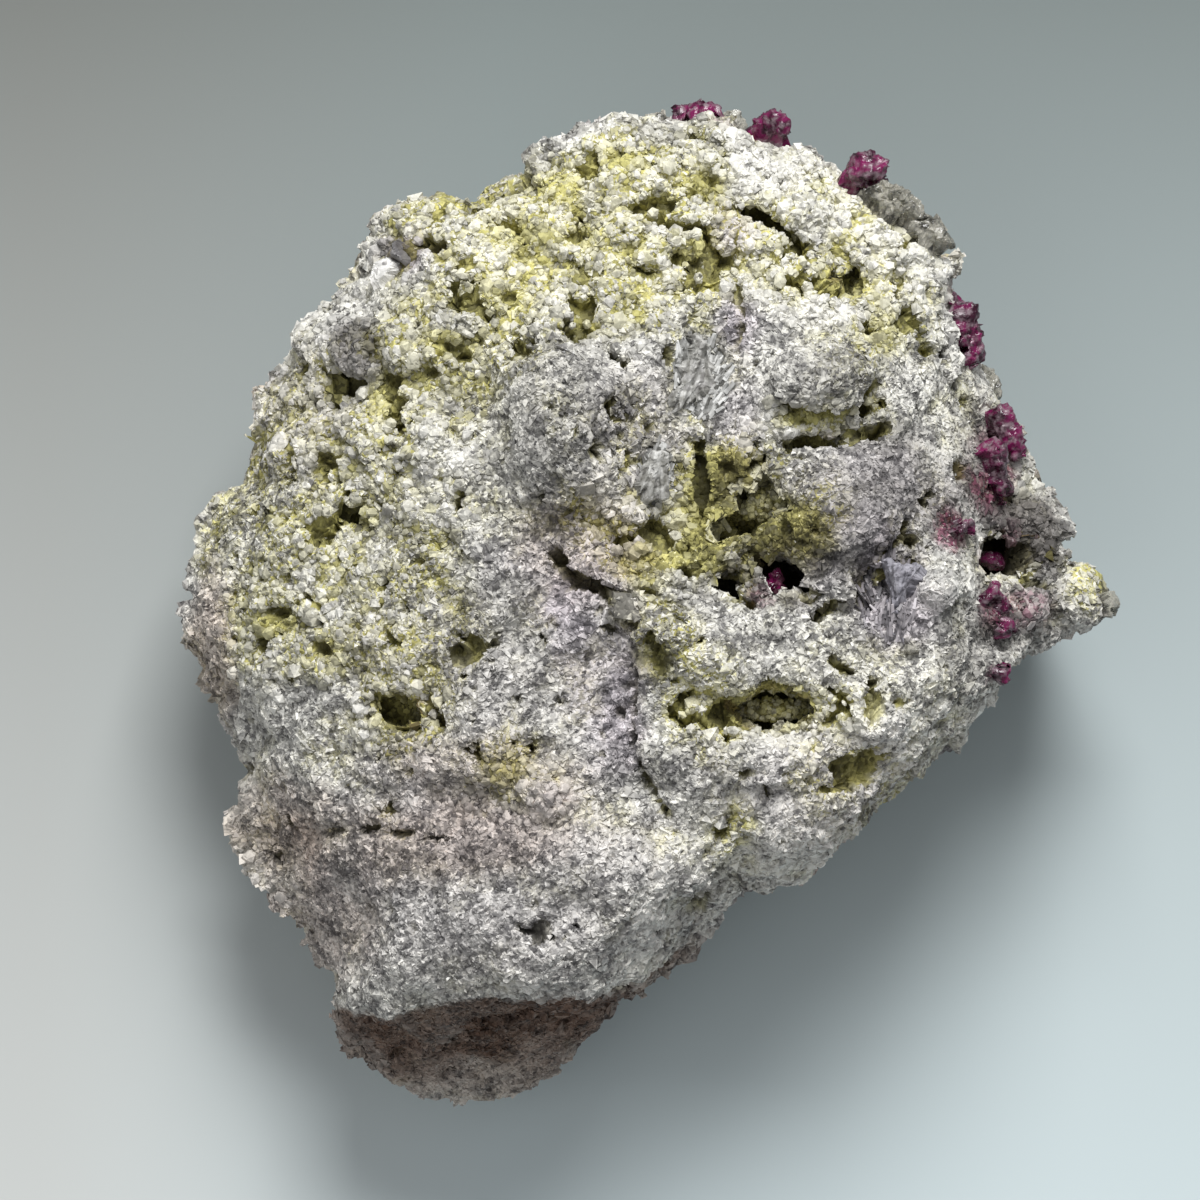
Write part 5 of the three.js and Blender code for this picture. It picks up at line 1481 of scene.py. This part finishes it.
class MINERAL_OT_rubellites(bpy.types.Operator):
    """Dress each rubellite with striations and chips and root it in the rock"""

    bl_idname = "mineral.rubellites"
    bl_label = "Rubellites"

    def execute(self, context):
        look = context.scene.mineral_rubellite
        material = crystal_material("rubellite", look, veil=(0.3, 0.22, 0.25), streak=2600.0)
        tree = tree_of(bpy.data.objects["rock"])
        for index, name in enumerate(crystal_nodes()["rubellite"]):
            crystal = solid_copy(name, f"crystal_{name}", RUBELLITE_VOXEL)
            striate(crystal, 400 + index)
            rooted(crystal, tree)
            crystal.data.shade_smooth()
            hand_over(crystal, material, "rubellite", name)
        return {"FINISHED"}


class MINERAL_OT_quartz(bpy.types.Operator):
    """Dress each grain of clear and smoky quartz and root it in the rock"""

    bl_idname = "mineral.quartz"
    bl_label = "Quartz"

    def execute(self, context):
        look = context.scene.mineral_quartz
        material = crystal_material("smoky quartz", look, veil=(0.78, 0.75, 0.66), streak=1500.0)
        tree = tree_of(bpy.data.objects["rock"])
        for index, name in enumerate(crystal_nodes()["quartz"]):
            crystal = solid_copy(name, f"crystal_{name}", QUARTZ_VOXEL)
            places, normals = points_of(crystal)
            chips = broken(places, QUARTZ_CHIPS, 500 + index, 50)
            share = min(np.ptp(places, axis=0).max() / WHOLE_CHIPS, 1)
            move_points(crystal, places + share**2 * normals * chips[:, None])
            rooted(crystal, tree)
            hand_over(crystal, material, "quartz", name)
        return {"FINISHED"}


class MINERAL_OT_small_minerals(bpy.types.Operator):
    """Dress the mica plates, albite blades, lavender columns and vug crusts"""

    bl_idname = "mineral.small_minerals"
    bl_label = "Mica, albite and crusts"

    def execute(self, context):
        tree = tree_of(bpy.data.objects["rock"])
        kinds = crystal_nodes()
        finishes = {key: plain_mineral(*finish) for key, finish in PLAIN_FINISHES.items()}
        look = context.scene.mineral_rubellite
        deep = crystal_material("vug rubellite", look, veil=(0.2, 0.08, 0.12), streak=2600.0)
        dark = crystal_material(
            "dark rubellite", look, veil=(0.07, 0.04, 0.05), streak=2600.0, dim=0.3,
        )
        for material in (deep, dark):
            shader = material.node_tree.nodes["Principled BSDF"]
            shader.inputs["Transmission Weight"].default_value = VUG_CLEARNESS
        finishes["crust_lower"] = finishes["crust_central"]
        finishes["crust_right"] = dark
        finishes["crust_pocket"] = deep
        height, spacing = BLOCKS
        for kind, slot in SMALL_SLOTS.items():
            for index, name in enumerate(kinds[kind]):
                material = next(finish for key, finish in finishes.items() if name.startswith(key))
                piece = solid_copy(name, f"dressed_{name}", MINERAL_VOXEL)
                places, normals = points_of(piece)
                _, number = pebbles(places, spacing, 600 + index)
                move_points(piece, places + normals * (height * (number - 0.5))[:, None])
                if kind != "crust":
                    rooted(piece, tree)
                pink = material in (deep, dark)
                hand_over(piece, material, "rubellite" if pink else slot, name)
        return {"FINISHED"}


class MINERAL_OT_crust_grains(bpy.types.Operator):
    """Line the yellow vugs with small blocky crystals"""

    bl_idname = "mineral.crust_grains"
    bl_label = "Vug grains"

    def execute(self, context):
        count = context.scene.mineral_grains.crust_count
        material = stone_material("yellow grains", 1700.0, glossy=0.2, dull=0.6)
        for seed, name in enumerate(("crust_central_vug", "crust_lower_vug")):
            rng = np.random.default_rng(90 + seed)
            places, normals, _ = seeds_on(bpy.data.objects[f"dressed_{name}"], 0.6, 56)
            keep = np.flatnonzero(normals[:, 2] > -0.2)[:count]
            picked = (places[keep], normals[keep])
            stains = ("violet", "brown", "white", "dusk", "pink")
            shares = dict.fromkeys(stains, np.zeros(len(keep)))
            shares["tone"] = rng.uniform(0.2, 0.85, len(keep))
            shares["stain"] = rng.uniform(0.45, 1.0, len(keep))
            width = rng.uniform(0.7, 1.4, len(keep))
            sizes = uneven_sizes(width, (0.7, 1.1), (0.6, 1.0), rng)
            grains = grain_crust(
                f"{name}_grains", crumb_shape(), picked, sizes, shares, rng,
                tilt=0.9, jitter=0.1, sink=0.4,
            )
            hand_over(grains, material, "yellow_crust")
        return {"FINISHED"}


class MINERAL_OT_stage(bpy.types.Operator):
    """Set the pale floor, with painted shade towards the top and painted light far away, the soft
    studio light and the camera overhead
    """

    bl_idname = "mineral.stage"
    bl_label = "Stage"

    def execute(self, context):
        settings = context.scene.mineral_stage
        self.camera(context)
        self.floor(settings)
        self.lights(context, settings)
        return {"FINISHED"}

    def camera(self, context):
        centre = spot(PHOTO_SIDE / 2, PHOTO_SIDE / 2) * MM
        camera = bpy.data.cameras.new("overhead")
        camera.sensor_width = SENSOR_WIDTH
        width = PHOTO_SIDE / PIXELS_PER_MM * MM
        camera.lens = SENSOR_WIDTH * CAMERA_DISTANCE / width
        camera.clip_end = 20
        obj = linked("overhead", camera)
        obj.location = (centre[0], centre[1], CAMERA_DISTANCE + RIM_HEIGHT * MM)
        context.scene.camera = obj

    def floor(self, settings):
        floor = primitive(bpy.ops.mesh.primitive_plane_add, size=FLOOR_SIDE)
        floor.name = "floor"
        material, tree, shader, _, where = new_material("studio floor")
        sides = node(tree, "ShaderNodeSeparateXYZ", {"Vector": where}).outputs
        # Painted shade: darker towards the top of the picture, paler towards the bottom.
        share = ranged(tree, sides["Y"], -0.09, 0.09)
        colour = mixed(tree, share, (*settings.floor_low_lit, 1), (*settings.floor_top_shaded, 1))
        # A little warmer to the left, and painted light far away: paler where the lamps light it
        # less, so that it meets the sky.
        warm = ranged(tree, sides["X"], -0.02, -0.08)
        colour = mixed(tree, warm, colour, (0.97, 0.88, 0.84, 1), "MULTIPLY")
        far = node(tree, "ShaderNodeVectorMath", {0: where}, operation="LENGTH").outputs["Value"]
        colour = mixed(tree, ranged(tree, far, 0.2, 1.6), colour, (0.93, 0.95, 0.97, 1))
        tree.links.new(colour, shader.inputs["Base Color"])
        shader.inputs["Roughness"].default_value = 0.9
        floor.data.materials.append(material)

    def lights(self, context, settings):
        for name, (place, size, power) in LIGHTS.items():
            light = bpy.data.lights.new(name, "AREA")
            light.size = size
            light.energy = getattr(settings, power)
            obj = linked(name, light)
            obj.location = place
            aim = Vector(LIT_POINT) - Vector(place)
            obj.rotation_euler = aim.to_track_quat("-Z", "Y").to_euler()
        world = bpy.data.worlds.new("soft sky")
        world.use_nodes = True
        sky = world.node_tree.nodes["Background"].inputs
        sky["Color"].default_value = SKY_COLOUR
        sky["Strength"].default_value = settings.sky
        context.scene.world = world
        context.scene.view_settings.view_transform = "Standard"


class MINERAL_PT_panel(bpy.types.Panel):
    """Lists the pieces of the cluster and their settings"""

    bl_idname = "MINERAL_PT_panel"
    bl_label = "Tourmaline cluster"
    bl_space_type = "VIEW_3D"
    bl_region_type = "UI"
    bl_category = "Mineral"

    def draw(self, context):
        for name in SETTINGS:
            box = self.layout.box()
            group = getattr(context.scene, name)
            for key in group.__annotations__:
                box.prop(group, key)
        for piece in PIECES:
            self.layout.operator(piece.bl_idname)


SETTINGS = {
    "mineral_rock": RockSettings,
    "mineral_grains": GrainSettings,
    "mineral_rubellite": CrystalLook,
    "mineral_quartz": CrystalLook,
    "mineral_stage": StageSettings,
}
PIECES = (
    MINERAL_OT_rock,
    MINERAL_OT_coarse_grains,
    MINERAL_OT_mica_flakes,
    MINERAL_OT_fine_grains,
    MINERAL_OT_wall_grains,
    MINERAL_OT_fibres,
    MINERAL_OT_rubellites,
    MINERAL_OT_quartz,
    MINERAL_OT_small_minerals,
    MINERAL_OT_crust_grains,
    MINERAL_OT_stage,
)
CLASSES = (RockSettings, GrainSettings, CrystalLook, StageSettings, *PIECES, MINERAL_PT_panel)


def register():
    for cls in CLASSES:
        bpy.utils.register_class(cls)
    for name, group in SETTINGS.items():
        setattr(bpy.types.Scene, name, PointerProperty(type=group))


def unregister():
    for name in SETTINGS:
        delattr(bpy.types.Scene, name)
    for cls in reversed(CLASSES):
        bpy.utils.unregister_class(cls)


def main():
    register()
    speckle_group()
    tint_group()
    for key, value in QUARTZ_LOOK.items():
        setattr(bpy.context.scene.mineral_quartz, key, value)
    for piece in PIECES:
        group, name = piece.bl_idname.split(".")
        getattr(getattr(bpy.ops, group), name)()


if __name__ == "__main__":
    main()
